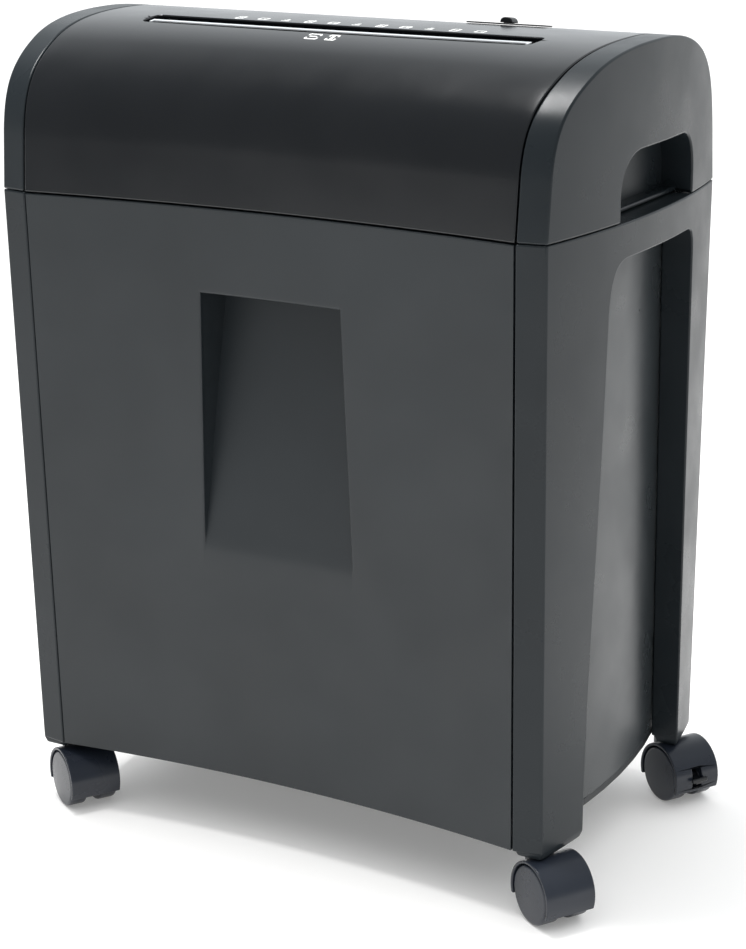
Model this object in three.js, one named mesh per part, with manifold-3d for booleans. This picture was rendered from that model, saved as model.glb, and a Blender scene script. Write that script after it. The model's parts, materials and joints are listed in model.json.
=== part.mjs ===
// A pull-out-bin paper shredder on four twin-wheel casters, in millimetres with +Z up.
// The front faces -Y. Everything is drawn round the cabinet's own middle line, and the last
// lines move the whole group so that the origin is under the middle of its bounding box.
import * as THREE from "three";
import { mergeVertices } from "three/addons/utils/BufferGeometryUtils.js";
import Module from "manifold-3d";

const wasm = await Module();
wasm.setup();

// ---------------------------------------------------------------- driving dimensions

const GAP = 0.3; // left between pieces that touch
const WALL = 3; // thickness of the moulded covers
const CURVE_STEPS = 7; // straight steps in each curved stretch of an outline

// The cabinet tapers from the seam under the head down to its feet.
const SEAM_Z = 388;
const FOOT_Z = 41.5;
const HALF_WIDTH = { foot: 172, seam: 175 }; // at the four corners
const HALF_DEPTH = { foot: 104, backFoot: 109.5, seam: 113 };
const SIDE_BOW = 10.5; // how far the sides swell past the corners
const CORNER_BEVEL = 2.7; // how far the corner strips slant back
const STRIP = 17; // width of the corner strips beside the front panel
const FRONT_DISH = 11.2; // how far the front is hollowed at its middle line
const BOW_STEPS = 8;
const DISH_STEPS = 8;

// The head above the seam.
const CROWN_Z = 482.4;
const COVER_HALF = 157.6; // half length of the cover at its corners
const CAP_START = 158.4; // where the end caps begin beside it

// Paper path and cutters.
const SLOT_Y = -31; // the throat between the cutters
const MOUTH = { front: -38.2, back: -19, half: 128, corner: 4.5 }; // the opening in the cover
const THROAT_HALF = 111;
const SHAFT_SPACING = 36;
const CUTTER_Z = 424;
const DISC_RADIUS = 20.5;
const SPACER_RADIUS = 12;
const SHAFT_RADIUS = 5;
const DISC_COUNT = 13;
const PLATE_X = 116; // inner face of the cutter side plates
const PLATE = 3;

// Drive train, driven by the motor through a compound gear.
const MAIN_GEAR = { teeth: 40, module: 1.25 };
const SMALL_GEAR = { teeth: 12, module: 1.25 };
const BIG_GEAR = { teeth: 44, module: 1 };
const PINION = { teeth: 10, module: 1 };
const SYNC_GEAR = { teeth: 18, module: 2 };
const MOTOR_RADIUS = 26;

// Bin.
const BIN_WALL = 2;
const TUB = { half: 146, front: -86, back: 98, floor: 50, rim: 372 };
const SCOOP = { top: 338, bottom: 182, depth: 27, halfTop: 45.6, halfBottom: 49.8 };

// Casters.
const STEM_X = 162;
const STEM_Y = { front: -86, rear: 97 };
const CASTER_TURN = THREE.MathUtils.degToRad(-32); // heading of the trail
const TRAIL = 14.5; // from the stem back to the axle
const WHEEL_RADIUS = 17.2;
const WHEEL_IN = 4.3; // inner and outer faces of a wheel, from the hood's middle
const WHEEL_OUT = 15.5;
const HOOD_RADIUS = 19.8;
const HOOD_HALF = 15.8;
const HOOD_SKIRT_Z = { trailing: 9.5, leading: 11.3 }; // lower edges of the hood
const AXLE_RADIUS = 2.5;
const AXLE_HALF = 13;
const STEM_RADIUS = 4;
const STEM_TOP = FOOT_Z + 34;
const SOCKET_RADIUS = 6;

// ---------------------------------------------------------------- materials

const plastic = (color, roughness) => new THREE.MeshStandardMaterial({ color, roughness });
const metal = (color, roughness) =>
  new THREE.MeshStandardMaterial({ color, roughness, metalness: 1 });

const charcoal = plastic(0x3c4043, 0.5);
const panelGrey = plastic(0x44474a, 0.6);
const glossBlack = plastic(0x15171a, 0.15);
const deepBlack = plastic(0x101214, 0.45);
const casterBlack = plastic(0x1c1e22, 0.4);
const tubBlack = plastic(0x222426, 0.6);
const nylon = plastic(0xd9d6cc, 0.5);
const boardGreen = plastic(0x1d5a34, 0.5);
const gumRubber = plastic(0x17181a, 0.8);
const steel = metal(0xb4b6b8, 0.35);
const toolSteel = metal(0x8d9093, 0.3);
const motorSteel = metal(0x9a9c9e, 0.45);

// ---------------------------------------------------------------- geometry helpers

const X = new THREE.Vector3(1, 0, 0);
const Y = new THREE.Vector3(0, 1, 0);
const Z = new THREE.Vector3(0, 0, 1);
const ALONG_X = new THREE.Matrix4().makeBasis(Y, Z, X); // outline drawn as (y, z)
const ALONG_Y = new THREE.Matrix4().makeBasis(X, Z, Y.clone().negate()); // as (x, z)
const { lerp, clamp } = THREE.MathUtils;

// A closed geometry as a solid that can be joined and cut.
function solidOf(geometry) {
  const bare = geometry.clone();
  bare.deleteAttribute("normal");
  bare.deleteAttribute("uv");
  const merged = mergeVertices(bare, 1e-3);
  return new wasm.Manifold(
    new wasm.Mesh({
      numProp: 3,
      vertProperties: merged.attributes.position.array,
      triVerts: new Uint32Array(merged.index.array),
    }),
  );
}

function geometryOf(solid) {
  const mesh = solid.getMesh();
  const geometry = new THREE.BufferGeometry();
  geometry.setAttribute("position", new THREE.BufferAttribute(mesh.vertProperties, 3));
  geometry.setIndex(new THREE.BufferAttribute(mesh.triVerts, 1));
  geometry.computeVertexNormals();
  return geometry;
}

const join = (first, ...rest) =>
  geometryOf(rest.reduce((sum, g) => sum.add(solidOf(g)), solidOf(first)));
const cut = (first, ...rest) =>
  geometryOf(rest.reduce((sum, g) => sum.subtract(solidOf(g)), solidOf(first)));
const common = (a, b) => geometryOf(solidOf(a).intersect(solidOf(b)));

function box(x0, x1, y0, y1, z0, z1) {
  const geometry = new THREE.BoxGeometry(x1 - x0, y1 - y0, z1 - z0);
  return geometry.translate((x0 + x1) / 2, (y0 + y1) / 2, (z0 + z1) / 2);
}

function extrude(shape, from, to, steps) {
  const options = { depth: to - from, steps, bevelEnabled: false, curveSegments: CURVE_STEPS };
  return new THREE.ExtrudeGeometry(shape, options).translate(0, 0, from);
}

const alongX = (shape, x0, x1, steps = 1) =>
  extrude(shape, x0, x1, steps).applyMatrix4(ALONG_X);
const alongY = (shape, y0, y1, steps = 1) =>
  extrude(shape, -y1, -y0, steps).applyMatrix4(ALONG_Y);
const alongZ = (shape, z0, z1, steps = 1) => extrude(shape, z0, z1, steps);

// A circle as a many-sided outline.
function ring([a, b], radius, sides) {
  const corner = (i) => (2 * Math.PI * i) / sides;
  const point = (_, i) =>
    new THREE.Vector2(a + radius * Math.cos(corner(i)), b + radius * Math.sin(corner(i)));
  return new THREE.Shape(Array.from({ length: sides }, point));
}

const rod = (axis, radius, centre, from, to, sides = 14) =>
  axis(ring(centre, radius, sides), from, to);

// A turned solid about the X axis through (y, z), from a profile of (radius, x) points.
function turned(profile, [y, z], sides) {
  const points = profile.map(([r, along]) => new THREE.Vector2(r, along));
  const lathe = new THREE.LatheGeometry(points, sides);
  return lathe.rotateZ(-Math.PI / 2).translate(0, y, z);
}

function roundedRect(x0, y0, x1, y1, r) {
  const shape = new THREE.Shape();
  shape.moveTo(x0 + r, y0);
  shape.lineTo(x1 - r, y0);
  shape.absarc(x1 - r, y0 + r, r, -Math.PI / 2, 0);
  shape.lineTo(x1, y1 - r);
  shape.absarc(x1 - r, y1 - r, r, 0, Math.PI / 2);
  shape.lineTo(x0 + r, y1);
  shape.absarc(x0 + r, y1 - r, r, Math.PI / 2, Math.PI);
  shape.lineTo(x0, y0 + r);
  shape.absarc(x0 + r, y0 + r, r, Math.PI, 1.5 * Math.PI);
  return shape;
}

// A block whose unit corners (u, v, w) are carried to their places by a function.
function formed([nu, nv, nw], place) {
  const geometry = new THREE.BoxGeometry(1, 1, 1, nu, nv, nw).translate(0.5, 0.5, 0.5);
  return reshaped(geometry, (p) => p.set(...place(p.x, p.y, p.z)));
}

function reshaped(geometry, move) {
  const position = geometry.attributes.position;
  const p = new THREE.Vector3();
  for (let i = 0; i < position.count; i++) {
    p.fromBufferAttribute(position, i);
    move(p);
    position.setXYZ(i, p.x, p.y, p.z);
  }
  return geometry;
}

// The same geometry on the other side of the middle line.
function mirrored(geometry) {
  const flipped = geometry.clone().scale(-1, 1, 1);
  const index = flipped.index.array;
  for (let i = 0; i < index.length; i += 3) {
    [index[i + 1], index[i + 2]] = [index[i + 2], index[i + 1]];
  }
  flipped.computeVertexNormals();
  return flipped;
}

// ---------------------------------------------------------------- the object as a tree

const shredder = new THREE.Group();

function add(name, geometry, material, parent = shredder) {
  const mesh = new THREE.Mesh(geometry, material);
  mesh.name = name;
  parent.add(mesh);
  return mesh;
}

// ---------------------------------------------------------------- cabinet surfaces

const rise = (z) => (z - FOOT_Z) / (SEAM_Z - FOOT_Z);
const halfWidth = (z) => lerp(HALF_WIDTH.foot, HALF_WIDTH.seam, rise(z));
const halfDepth = (z) => lerp(HALF_DEPTH.foot, HALF_DEPTH.seam, rise(z));
const backDepth = (z) => lerp(HALF_DEPTH.backFoot, HALF_DEPTH.seam, rise(z));
const bow = (y, z) => 1 - (y / (y < 0 ? halfDepth(z) : backDepth(z))) ** 2;
const sideX = (y, z) => halfWidth(z) + SIDE_BOW * bow(y, z);
const frontY = (x, z) =>
  -halfDepth(z) - CORNER_BEVEL + FRONT_DISH * (1 - (x / (halfWidth(z) - STRIP)) ** 2);

const LINER_HALF = 152; // the inner side wall behind the window, at its ends
const LINER_BOW = 15;
const linerX = (y, z) => LINER_HALF + LINER_BOW * bow(y, z);
const LINER = 2.5;
const LINER_FRONT = -76;
const CABINET_TOP = SEAM_Z - GAP;

// ---------------------------------------------------------------- side frames

const WINDOW = { top: 367.5, front: -63.5, frontTop: -50, back: 77.5, backTop: 68.5 };

// The window between the legs: its sides lean, and it is open at the bottom.
function windowShape(grow) {
  const shape = new THREE.Shape();
  const base = FOOT_Z - 10;
  const top = WINDOW.top + grow;
  const front = WINDOW.front - grow;
  const frontTop = WINDOW.frontTop - grow;
  const back = WINDOW.back + grow;
  const backTop = WINDOW.backTop + grow;
  shape.moveTo(front, base);
  shape.lineTo(front, base + 25);
  shape.bezierCurveTo(front, base + 100, frontTop - 4, base + 200, frontTop - 1, top - 32);
  shape.bezierCurveTo(frontTop, top - 10, frontTop + 6, top, frontTop + 20, top);
  shape.lineTo(backTop - 12, top);
  shape.quadraticCurveTo(backTop, top, backTop, top - 12);
  shape.lineTo(back, base);
  return shape;
}

// The foot under a leg: a block that narrows downwards, most at the heel end.
const SHOE_Z = 37.6;
const SHOE_TAPER = 1.4;
const HEEL_TAPER = 8;
const SHOE_MARGIN = 2; // kept clear of the floor plate beside it

function shoe(low, high, highTaper) {
  return formed([1, 4, 1], (u, v, w) => {
    const narrowing = SHOE_TAPER * (1 - w);
    const y = lerp(low + narrowing, high - highTaper * (1 - w), v);
    const inner = Math.max(HALF_WIDTH.foot - STRIP, linerX(y, FOOT_Z) + SHOE_MARGIN);
    const outer = sideX(y, FOOT_Z);
    return [lerp(inner + narrowing, outer - narrowing, u), y, lerp(SHOE_Z, FOOT_Z + 1, w)];
  });
}

function sideFrame() {
  const skin = ([u, v, w], inset, innerX) => {
    const z = lerp(FOOT_Z + inset, CABINET_TOP - inset, w);
    const bevel = CORNER_BEVEL * (1 - u) - inset;
    const y = lerp(-halfDepth(z) - bevel, backDepth(z) + bevel, v);
    return [lerp(innerX(y, z), sideX(y, z) - inset, u), y, z];
  };
  const inner = (y, z) => Math.max(halfWidth(z) - STRIP, linerX(y, z) + GAP);
  const slab = formed([1, 2 * BOW_STEPS, 1], (...p) => skin(p, 0, inner));
  const hollow = formed([1, 2 * BOW_STEPS, 1], (...p) => skin(p, WALL, () => HALF_WIDTH.foot - 40));
  const channel = cut(hollow, alongX(windowShape(WALL), 100, 220));
  const socket = (y) => rod(alongZ, SOCKET_RADIUS, [STEM_X, y], FOOT_Z, STEM_TOP + 10);
  const bore = (y) => rod(alongZ, STEM_RADIUS + GAP, [STEM_X, y], SHOE_Z - 1, STEM_TOP + 4);
  return cut(
    join(
      cut(slab, alongX(windowShape(0), 100, 220), channel),
      shoe(-HALF_DEPTH.foot, WINDOW.front, SHOE_TAPER),
      shoe(WINDOW.back, HALF_DEPTH.backFoot, HEEL_TAPER),
      socket(STEM_Y.front),
      socket(STEM_Y.rear),
    ),
    bore(STEM_Y.front),
    bore(STEM_Y.rear),
  );
}

const frame = sideFrame();
add("side_frame_right", frame, charcoal);
add("side_frame_left", mirrored(frame), charcoal);

// ---------------------------------------------------------------- cabinet walls and floor

const FLOOR_TOP = FOOT_Z + 4;
const FLOOR_FRONT = -79;
const BACK_WALL = 3;

function sideLiner() {
  return formed([1, BOW_STEPS, 1], (u, v, w) => {
    const z = lerp(FLOOR_TOP + GAP, CABINET_TOP, w);
    const y = lerp(LINER_FRONT, backDepth(z) - BACK_WALL - 2 * GAP, v);
    return [linerX(y, z) - LINER * (1 - u), y, z];
  });
}

const liner = geometryOf(solidOf(sideLiner()));
add("side_wall_right", liner, tubBlack);
add("side_wall_left", mirrored(liner), tubBlack);

add(
  "rear_panel",
  formed([1, 1, 1], (u, v, w) => {
    const z = lerp(FOOT_Z, CABINET_TOP, w);
    const x = (halfWidth(z) - STRIP - GAP) * (2 * u - 1);
    return [x, backDepth(z) + CORNER_BEVEL - BACK_WALL * (1 - v), z];
  }),
  panelGrey,
);

// The floor reaches out under both side walls.
add(
  "base_plate",
  formed([1, BOW_STEPS, 1], (u, v, w) => {
    const y = lerp(FLOOR_FRONT, HALF_DEPTH.backFoot - 1, v);
    return [(linerX(y, FOOT_Z) - GAP) * (2 * u - 1), y, lerp(FOOT_Z, FLOOR_TOP, w)];
  }),
  tubBlack,
);

const RUNNER_X = 110;
for (const [side, sign] of [["left", -1], ["right", 1]]) {
  const x = sign * RUNNER_X;
  const strip = box(x - 6, x + 6, TUB.front + 4, 96, FLOOR_TOP + GAP, TUB.floor - GAP);
  add(`bin_runner_${side}`, strip, nylon);
}

// ---------------------------------------------------------------- head shell

const END_Y = HALF_DEPTH.seam;
const SHOULDER = { front: -END_Y + 3, back: END_Y - 4.5, frontZ: 422, backZ: 418 };

// The head's end outline in (y, z): upright ends, tight shoulders and a shallow crown.
function headShape(inset) {
  const shape = new THREE.Shape();
  const ky = 1 - inset / END_Y;
  const kz = 1 - inset / (CROWN_Z - SEAM_Z);
  const at = (y, z) => [y * ky, SEAM_Z + (z - SEAM_Z) * kz];
  shape.moveTo(...at(-END_Y, SEAM_Z));
  shape.lineTo(...at(SHOULDER.front, SHOULDER.frontZ));
  shape.bezierCurveTo(...at(-107, 446), ...at(-98, 458), ...at(-73, 470));
  shape.bezierCurveTo(...at(-52, 480.5), ...at(-22, CROWN_Z), ...at(6, CROWN_Z));
  shape.bezierCurveTo(...at(34, CROWN_Z), ...at(58, 478.5), ...at(78, 468.5));
  shape.bezierCurveTo(...at(98, 457), ...at(104, 444), ...at(SHOULDER.back, SHOULDER.backZ));
  shape.lineTo(...at(END_Y, SEAM_Z));
  return shape;
}

// The swell of the sides at a depth y, and a block bounded by two swelling sides.
const headBow = (y) => SIDE_BOW * (1 - (y / END_Y) ** 2);
const SLANT = CORNER_BEVEL / END_Y;

function bowedBlock(from, to) {
  return formed([1, 2 * BOW_STEPS, 1], (u, v, w) => {
    const y = lerp(-125, 125, v);
    return [(u ? to : from) + headBow(y) * (u || from > 0 ? 1 : -1), y, lerp(SEAM_Z, 520, w)];
  });
}

// A length of the head whose front is hollowed across its width, most at the middle line.
function dishedLength(inset, end) {
  const middle = DISH_STEPS / 2;
  const length = alongX(headShape(inset), -middle - 1, middle + 1, DISH_STEPS + 2);
  const depth = FRONT_DISH / (END_Y + CORNER_BEVEL);
  return reshaped(length, (p) => {
    const t = clamp(p.x / middle, -1, 1);
    const dish = p.y < 0 ? depth * (1 - t ** 2) : 0;
    p.x = Math.abs(p.x) > middle ? Math.sign(p.x) * end : t * COVER_HALF;
    p.y *= (1 + SLANT) * (1 - dish);
  });
}

const mouthCut = alongZ(
  roundedRect(-MOUTH.half, MOUTH.front, MOUTH.half, MOUTH.back, MOUTH.corner),
  455,
  500,
);

const GLAND = { x: -112, z: 408 };
const VENTS = { count: 7, pitch: 12, width: 4, low: 402, high: 428 };

function topCover() {
  const outer = common(dishedLength(0, 172), bowedBlock(-COVER_HALF, COVER_HALF));
  const inner = dishedLength(WALL, 180);
  const below = box(-200, 200, -150, 150, SEAM_Z - 5, SEAM_Z + 0.01);
  const glandHole = rod(alongY, 6.5, [GLAND.x, GLAND.z], 90, 130, 12);
  const vents = Array.from({ length: VENTS.count }, (_, i) => {
    const x = 60 + VENTS.pitch * (i - (VENTS.count - 1) / 2);
    return box(x - VENTS.width / 2, x + VENTS.width / 2, 100, 130, VENTS.low, VENTS.high);
  });
  return cut(outer, inner, below, mouthCut, glandHole, ...vents);
}

add("top_cover", topCover(), glossBlack);

// The finger recess in each end cap: a pocket that opens outwards and, at the face, downwards.
const GRIP = { front: -41, back: 63, top: 425, floor: 163, sill: SEAM_Z + WALL, mouth: 172 };

function gripShape(grow) {
  const shape = new THREE.Shape();
  const front = GRIP.front - grow;
  const back = GRIP.back + grow;
  const top = GRIP.top + grow;
  const base = SEAM_Z - 6;
  shape.moveTo(front, base);
  shape.lineTo(front, top - 24);
  shape.bezierCurveTo(front, top - 10, front + 10, top, front + 26, top);
  shape.lineTo(back - 20, top);
  shape.bezierCurveTo(back - 8, top, back, top - 8, back, top - 24);
  shape.lineTo(back, base);
  return shape;
}

// One end of the head: square beside the cover, then slanting in to the swelling side.
function headEnd(inset, start, side) {
  return reshaped(alongX(headShape(inset), 0, 3, 3), (p) => {
    const swell = headBow(p.y);
    const ring = Math.round(p.x);
    p.x = [start - 10, start + swell, side + swell, side + 21][ring];
    p.y *= ring < 2 ? 1 + SLANT : 1;
  });
}

function endCap() {
  const side = HALF_WIDTH.seam;
  const outer = common(headEnd(0, CAP_START, side), bowedBlock(CAP_START, side));
  const inner = common(headEnd(WALL, CAP_START - 8, side), bowedBlock(CAP_START - 8, side - WALL));
  const above = (z) => box(100, 230, -100, 100, z, 500);
  const pocketWall = common(alongX(gripShape(WALL), GRIP.floor - WALL, 220), above(SEAM_Z));
  const pocket = common(alongX(gripShape(0), GRIP.floor, 230), above(GRIP.sill));
  const block = join(cut(outer, inner), common(pocketWall, box(100, 180, -100, 100, 380, 500)));
  return cut(block, pocket, alongX(gripShape(0), GRIP.mouth, 230));
}

const cap = endCap();
add("end_cap_right", cap, charcoal);
add("end_cap_left", mirrored(cap), charcoal);

// ---------------------------------------------------------------- head tray and throat

const TRAY_TOP = SEAM_Z + 3;
const DISCHARGE = { half: 112, front: -56, back: -2 };

// The tray under the cutters, with ears that rest on the side frames.
add(
  "head_tray",
  cut(
    join(
      box(-157, 157, -99, 106, SEAM_Z, TRAY_TOP),
      box(-163, 163, -99, -84, SEAM_Z, TRAY_TOP),
      box(-163, 163, 86, 104, SEAM_Z, TRAY_TOP),
    ),
    box(-DISCHARGE.half, DISCHARGE.half, DISCHARGE.front, DISCHARGE.back, 380, 400),
  ),
  deepBlack,
);

// The funnel under the mouth narrows to the throat between the cutters.
function throatGuide() {
  const top = 474.5;
  const block = box(2 - MOUTH.half, MOUTH.half - 2, MOUTH.front - 2, MOUTH.back + 2, 446.3, top);
  const funnel = formed([1, 1, 1], (u, v, w) => {
    const half = lerp(THROAT_HALF, MOUTH.half - 4, w);
    const y = lerp(lerp(SLOT_Y - 3, MOUTH.front, w), lerp(SLOT_Y + 3, MOUTH.back, w), v);
    return [half * (2 * u - 1), y, lerp(446, top + 0.5, w)];
  });
  return cut(block, funnel);
}

add("throat_guide", throatGuide(), deepBlack);

// ---------------------------------------------------------------- mode switch

// It lies on the rear of the crown, so everything in it leans back by the same slope.
const SWITCH = { x: 78, y: 35, halfLength: 25.5, halfWidth: 6.5, base: 481.15, plate: 0.8 };
const SWITCH_SLOPE = -0.125;
const SWITCH_TRAVEL = 6;
const KNOB = { half: 4, height: 3.2, base: SWITCH.base + SWITCH.plate + GAP };
const KNOB_STEM = { halfLength: 3, halfWidth: 1.4 };
const leaning = (geometry) =>
  reshaped(geometry, (p) => {
    p.z += SWITCH_SLOPE * (p.y - SWITCH.y);
  });

function switchPlate() {
  const { x, y, halfLength, halfWidth, base, plate } = SWITCH;
  const outline = roundedRect(x - halfLength, y - halfWidth, x + halfLength, y + halfWidth, 3);
  const track = KNOB_STEM.halfLength + SWITCH_TRAVEL + GAP;
  const trackHalf = KNOB_STEM.halfWidth + GAP;
  const opening = box(x - track, x + track, y - trackHalf, y + trackHalf, base - 5, base + 5);
  return leaning(cut(alongZ(outline, base, base + plate), opening));
}

function switchKnob() {
  const { x, y } = SWITCH;
  const { half, height, base } = KNOB;
  const { halfLength, halfWidth } = KNOB_STEM;
  const shape = new THREE.Shape();
  shape.moveTo(x - half, base);
  shape.lineTo(x + half, base);
  shape.lineTo(x + half - 0.6, base + height / 2);
  shape.quadraticCurveTo(x, base + 1.5 * height, x - half + 0.6, base + height / 2);
  return leaning(
    join(
      alongY(shape, y - half, y + half),
      box(x - halfLength, x + halfLength, y - halfWidth, y + halfWidth, SWITCH.base, base + 1),
    ),
  );
}

add("switch_plate", switchPlate(), deepBlack);
add("mode_switch_knob", switchKnob(), deepBlack);

// ---------------------------------------------------------------- cutters

const FRONT_AXIS = [SLOT_Y - SHAFT_SPACING / 2, CUTTER_Z];
const REAR_AXIS = [SLOT_Y + SHAFT_SPACING / 2, CUTTER_Z];
const DISC_PITCH = (2 * THROAT_HALF) / DISC_COUNT;
const DISC = DISC_PITCH / 2 - GAP; // thickness of one disc

// One stack of discs on its shaft. Shifting it by half a pitch lets two stacks interleave.
function cutterRoller(axis, shift, ends) {
  const face = PLATE_X - 2;
  const profile = [[0, ends[0]], [SHAFT_RADIUS, ends[0]], [SHAFT_RADIUS, -face]];
  profile.push([SPACER_RADIUS, -face]);
  for (let i = 0; i < DISC_COUNT; i++) {
    const middle = (i - (DISC_COUNT - 1) / 2) * DISC_PITCH + shift;
    profile.push([SPACER_RADIUS, middle - DISC / 2], [DISC_RADIUS, middle - DISC / 2]);
    profile.push([DISC_RADIUS, middle + DISC / 2], [SPACER_RADIUS, middle + DISC / 2]);
  }
  profile.push([SPACER_RADIUS, face], [SHAFT_RADIUS, face]);
  profile.push([SHAFT_RADIUS, ends[1]], [0, ends[1]]);
  return turned(profile, axis, 12);
}

add("cutter_roller_front", cutterRoller(FRONT_AXIS, -DISC_PITCH / 4, [-132, 122]), toolSteel);
add("cutter_roller_rear", cutterRoller(REAR_AXIS, DISC_PITCH / 4, [-132, 143]), toolSteel);

const COMB = { clearance: 2, thickness: 3, low: CUTTER_Z - 12, high: CUTTER_Z + 14 };
const FINGER = { half: 2.5, clearance: 0.6, low: CUTTER_Z - 4, high: CUTTER_Z + 2 };

// Each comb is a bar whose fingers reach between the discs and clear them of paper.
function stripperComb(axisY, shift, outward) {
  const near = axisY + outward * (DISC_RADIUS + COMB.clearance);
  const far = near + outward * COMB.thickness;
  const reach = axisY + outward * (SPACER_RADIUS + FINGER.clearance);
  const slab = (x0, x1, a, b, z0, z1) => box(x0, x1, Math.min(a, b), Math.max(a, b), z0, z1);
  const fingers = Array.from({ length: DISC_COUNT - 1 }, (_, i) => {
    const middle = (i + 1 - DISC_COUNT / 2) * DISC_PITCH + shift;
    const ends = [middle - FINGER.half, middle + FINGER.half];
    return slab(...ends, reach, far, FINGER.low, FINGER.high);
  });
  const rail = slab(-PLATE_X + GAP, PLATE_X - GAP, near, far, COMB.low, COMB.high);
  return join(rail, ...fingers);
}

add("stripper_comb_front", stripperComb(FRONT_AXIS[0], -DISC_PITCH / 4, -1), tubBlack);
add("stripper_comb_rear", stripperComb(REAR_AXIS[0], DISC_PITCH / 4, 1), tubBlack);

// ---------------------------------------------------------------- drive train

const pitchRadius = (gear) => (gear.teeth * gear.module) / 2;
const polar = ([y, z], radius, angle) => {
  return [y + radius * Math.cos(angle), z + radius * Math.sin(angle)];
};
const IDLER_ANGLE = THREE.MathUtils.degToRad(20);
const MOTOR_ANGLE = THREE.MathUtils.degToRad(-10);
const IDLER_AXIS = polar(REAR_AXIS, pitchRadius(MAIN_GEAR) + pitchRadius(SMALL_GEAR), IDLER_ANGLE);
const MOTOR_AXIS = polar(IDLER_AXIS, pitchRadius(BIG_GEAR) + pitchRadius(PINION), MOTOR_ANGLE);

// A spur gear with straight-flanked teeth, thinned so that a pair runs with backlash.
function gear({ teeth, module: size }, [y, z], phase, from, to, bore) {
  const pitch = (2 * Math.PI) / teeth;
  const radius = (teeth * size) / 2;
  const root = radius - 1.15 * size;
  const tip = radius + 0.85 * size;
  const rootHalf = (0.92 * size) / root;
  const tipHalf = (0.34 * size) / tip;
  const outline = [];
  for (let i = 0; i < teeth; i++) {
    const middle = phase + i * pitch;
    const corners = [[root, -rootHalf], [tip, -tipHalf], [tip, tipHalf], [root, rootHalf]];
    for (const [r, turn] of corners) {
      outline.push(new THREE.Vector2(...polar([y, z], r, middle + turn)));
    }
  }
  const blank = alongX(new THREE.Shape(outline), from, to);
  return bore ? cut(blank, rod(alongX, bore, [y, z], from - 1, to + 1, 12)) : blank;
}

// The phase at which a gear meshes with another that has a tooth pointing at it at `angle`.
const meshPhase = (gear, angle) => angle + Math.PI + Math.PI / gear.teeth;
const followPhase = (driver, driverPhase, follower, angle) =>
  meshPhase(follower, angle) + ((angle - driverPhase) * driver.teeth) / follower.teeth;

const mainPhase = IDLER_ANGLE;
const smallPhase = meshPhase(SMALL_GEAR, IDLER_ANGLE);
const bigPhase = MOTOR_ANGLE;
const pinionPhase = followPhase(BIG_GEAR, bigPhase, PINION, MOTOR_ANGLE);

add("main_gear", gear(MAIN_GEAR, REAR_AXIS, mainPhase, 131, 141, SHAFT_RADIUS + GAP), nylon);
const bigWheel = gear(BIG_GEAR, IDLER_AXIS, bigPhase, 121, 127.5, 0);
const smallWheel = gear(SMALL_GEAR, IDLER_AXIS, smallPhase, 127, 141, 0);
add(
  "reduction_gear",
  cut(join(bigWheel, smallWheel), rod(alongX, 3.3, IDLER_AXIS, 110, 150, 12)),
  nylon,
);
add("reduction_pin", rod(alongX, 3, IDLER_AXIS, PLATE_X + GAP, 144, 12), steel);
const pinionShaft = rod(alongX, 2.5, MOTOR_AXIS, 104, 129, 12);
add(
  "motor_pinion",
  join(gear(PINION, MOTOR_AXIS, pinionPhase, 121, 127.5, 0), pinionShaft),
  steel,
);
const SYNC_FACES = [-130, -122];
const syncGear = (axis, phase) => gear(SYNC_GEAR, axis, phase, ...SYNC_FACES, SHAFT_RADIUS + GAP);
add("sync_gear_front", syncGear(FRONT_AXIS, meshPhase(SYNC_GEAR, Math.PI)), toolSteel);
add("sync_gear_rear", syncGear(REAR_AXIS, Math.PI), toolSteel);

// ---------------------------------------------------------------- motor, plates and rods

// A can with a bearing boss at its far end and a blind bore for the pinion's shaft.
const MOTOR = { rear: 20, can: 26, chamfer: 2, boss: 7, bore: 2.9, boreEnd: 103 };

function motor() {
  const { rear, can, chamfer, boss, bore, boreEnd } = MOTOR;
  const face = PLATE_X - GAP;
  const profile = [
    [0, rear],
    [boss, rear],
    [boss, can],
    [MOTOR_RADIUS - chamfer, can],
    [MOTOR_RADIUS, can + chamfer],
    [MOTOR_RADIUS, face - chamfer],
    [MOTOR_RADIUS - chamfer, face],
    [bore, face],
    [bore, boreEnd],
    [0, boreEnd],
  ];
  return turned(profile, MOTOR_AXIS, 20);
}

add("motor", motor(), motorSteel);

const TIE_RODS = { front: [-72, 400], rear: [16, 400] };
const PLATE_LOW = TRAY_TOP + GAP;
const PLATE_HIGH = 446;

const PLATE_FRONT = -78;
const PLATE_CHAMFER = 8;

function cutterPlate(x, rearEdge, holes) {
  const shape = new THREE.Shape();
  shape.moveTo(PLATE_FRONT, PLATE_LOW);
  shape.lineTo(rearEdge, PLATE_LOW);
  shape.lineTo(rearEdge, PLATE_HIGH - PLATE_CHAMFER);
  shape.lineTo(rearEdge - PLATE_CHAMFER, PLATE_HIGH);
  shape.lineTo(PLATE_FRONT + PLATE_CHAMFER, PLATE_HIGH);
  shape.lineTo(PLATE_FRONT, PLATE_HIGH - PLATE_CHAMFER);
  const plate = alongX(shape, x, x + PLATE);
  return cut(plate, ...holes.map(([axis, r]) => rod(alongX, r, axis, x - 1, x + PLATE + 1, 12)));
}

const shaftHoles = [
  [FRONT_AXIS, SHAFT_RADIUS + 0.5],
  [REAR_AXIS, SHAFT_RADIUS + 0.5],
  [TIE_RODS.front, 3.3],
  [TIE_RODS.rear, 3.3],
];
const driveHoles = [
  [IDLER_AXIS, 3.4],
  [MOTOR_AXIS, 3.4],
];
add("cutter_plate_left", cutterPlate(-PLATE_X - PLATE, 30, shaftHoles), steel);
add("cutter_plate_right", cutterPlate(PLATE_X, 80, [...shaftHoles, ...driveHoles]), steel);
for (const [place, axis] of Object.entries(TIE_RODS)) {
  add(`tie_rod_${place}`, rod(alongX, 3, axis, -PLATE_X - 5, PLATE_X + 5, 12), steel);
}

// ---------------------------------------------------------------- electrics

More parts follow.
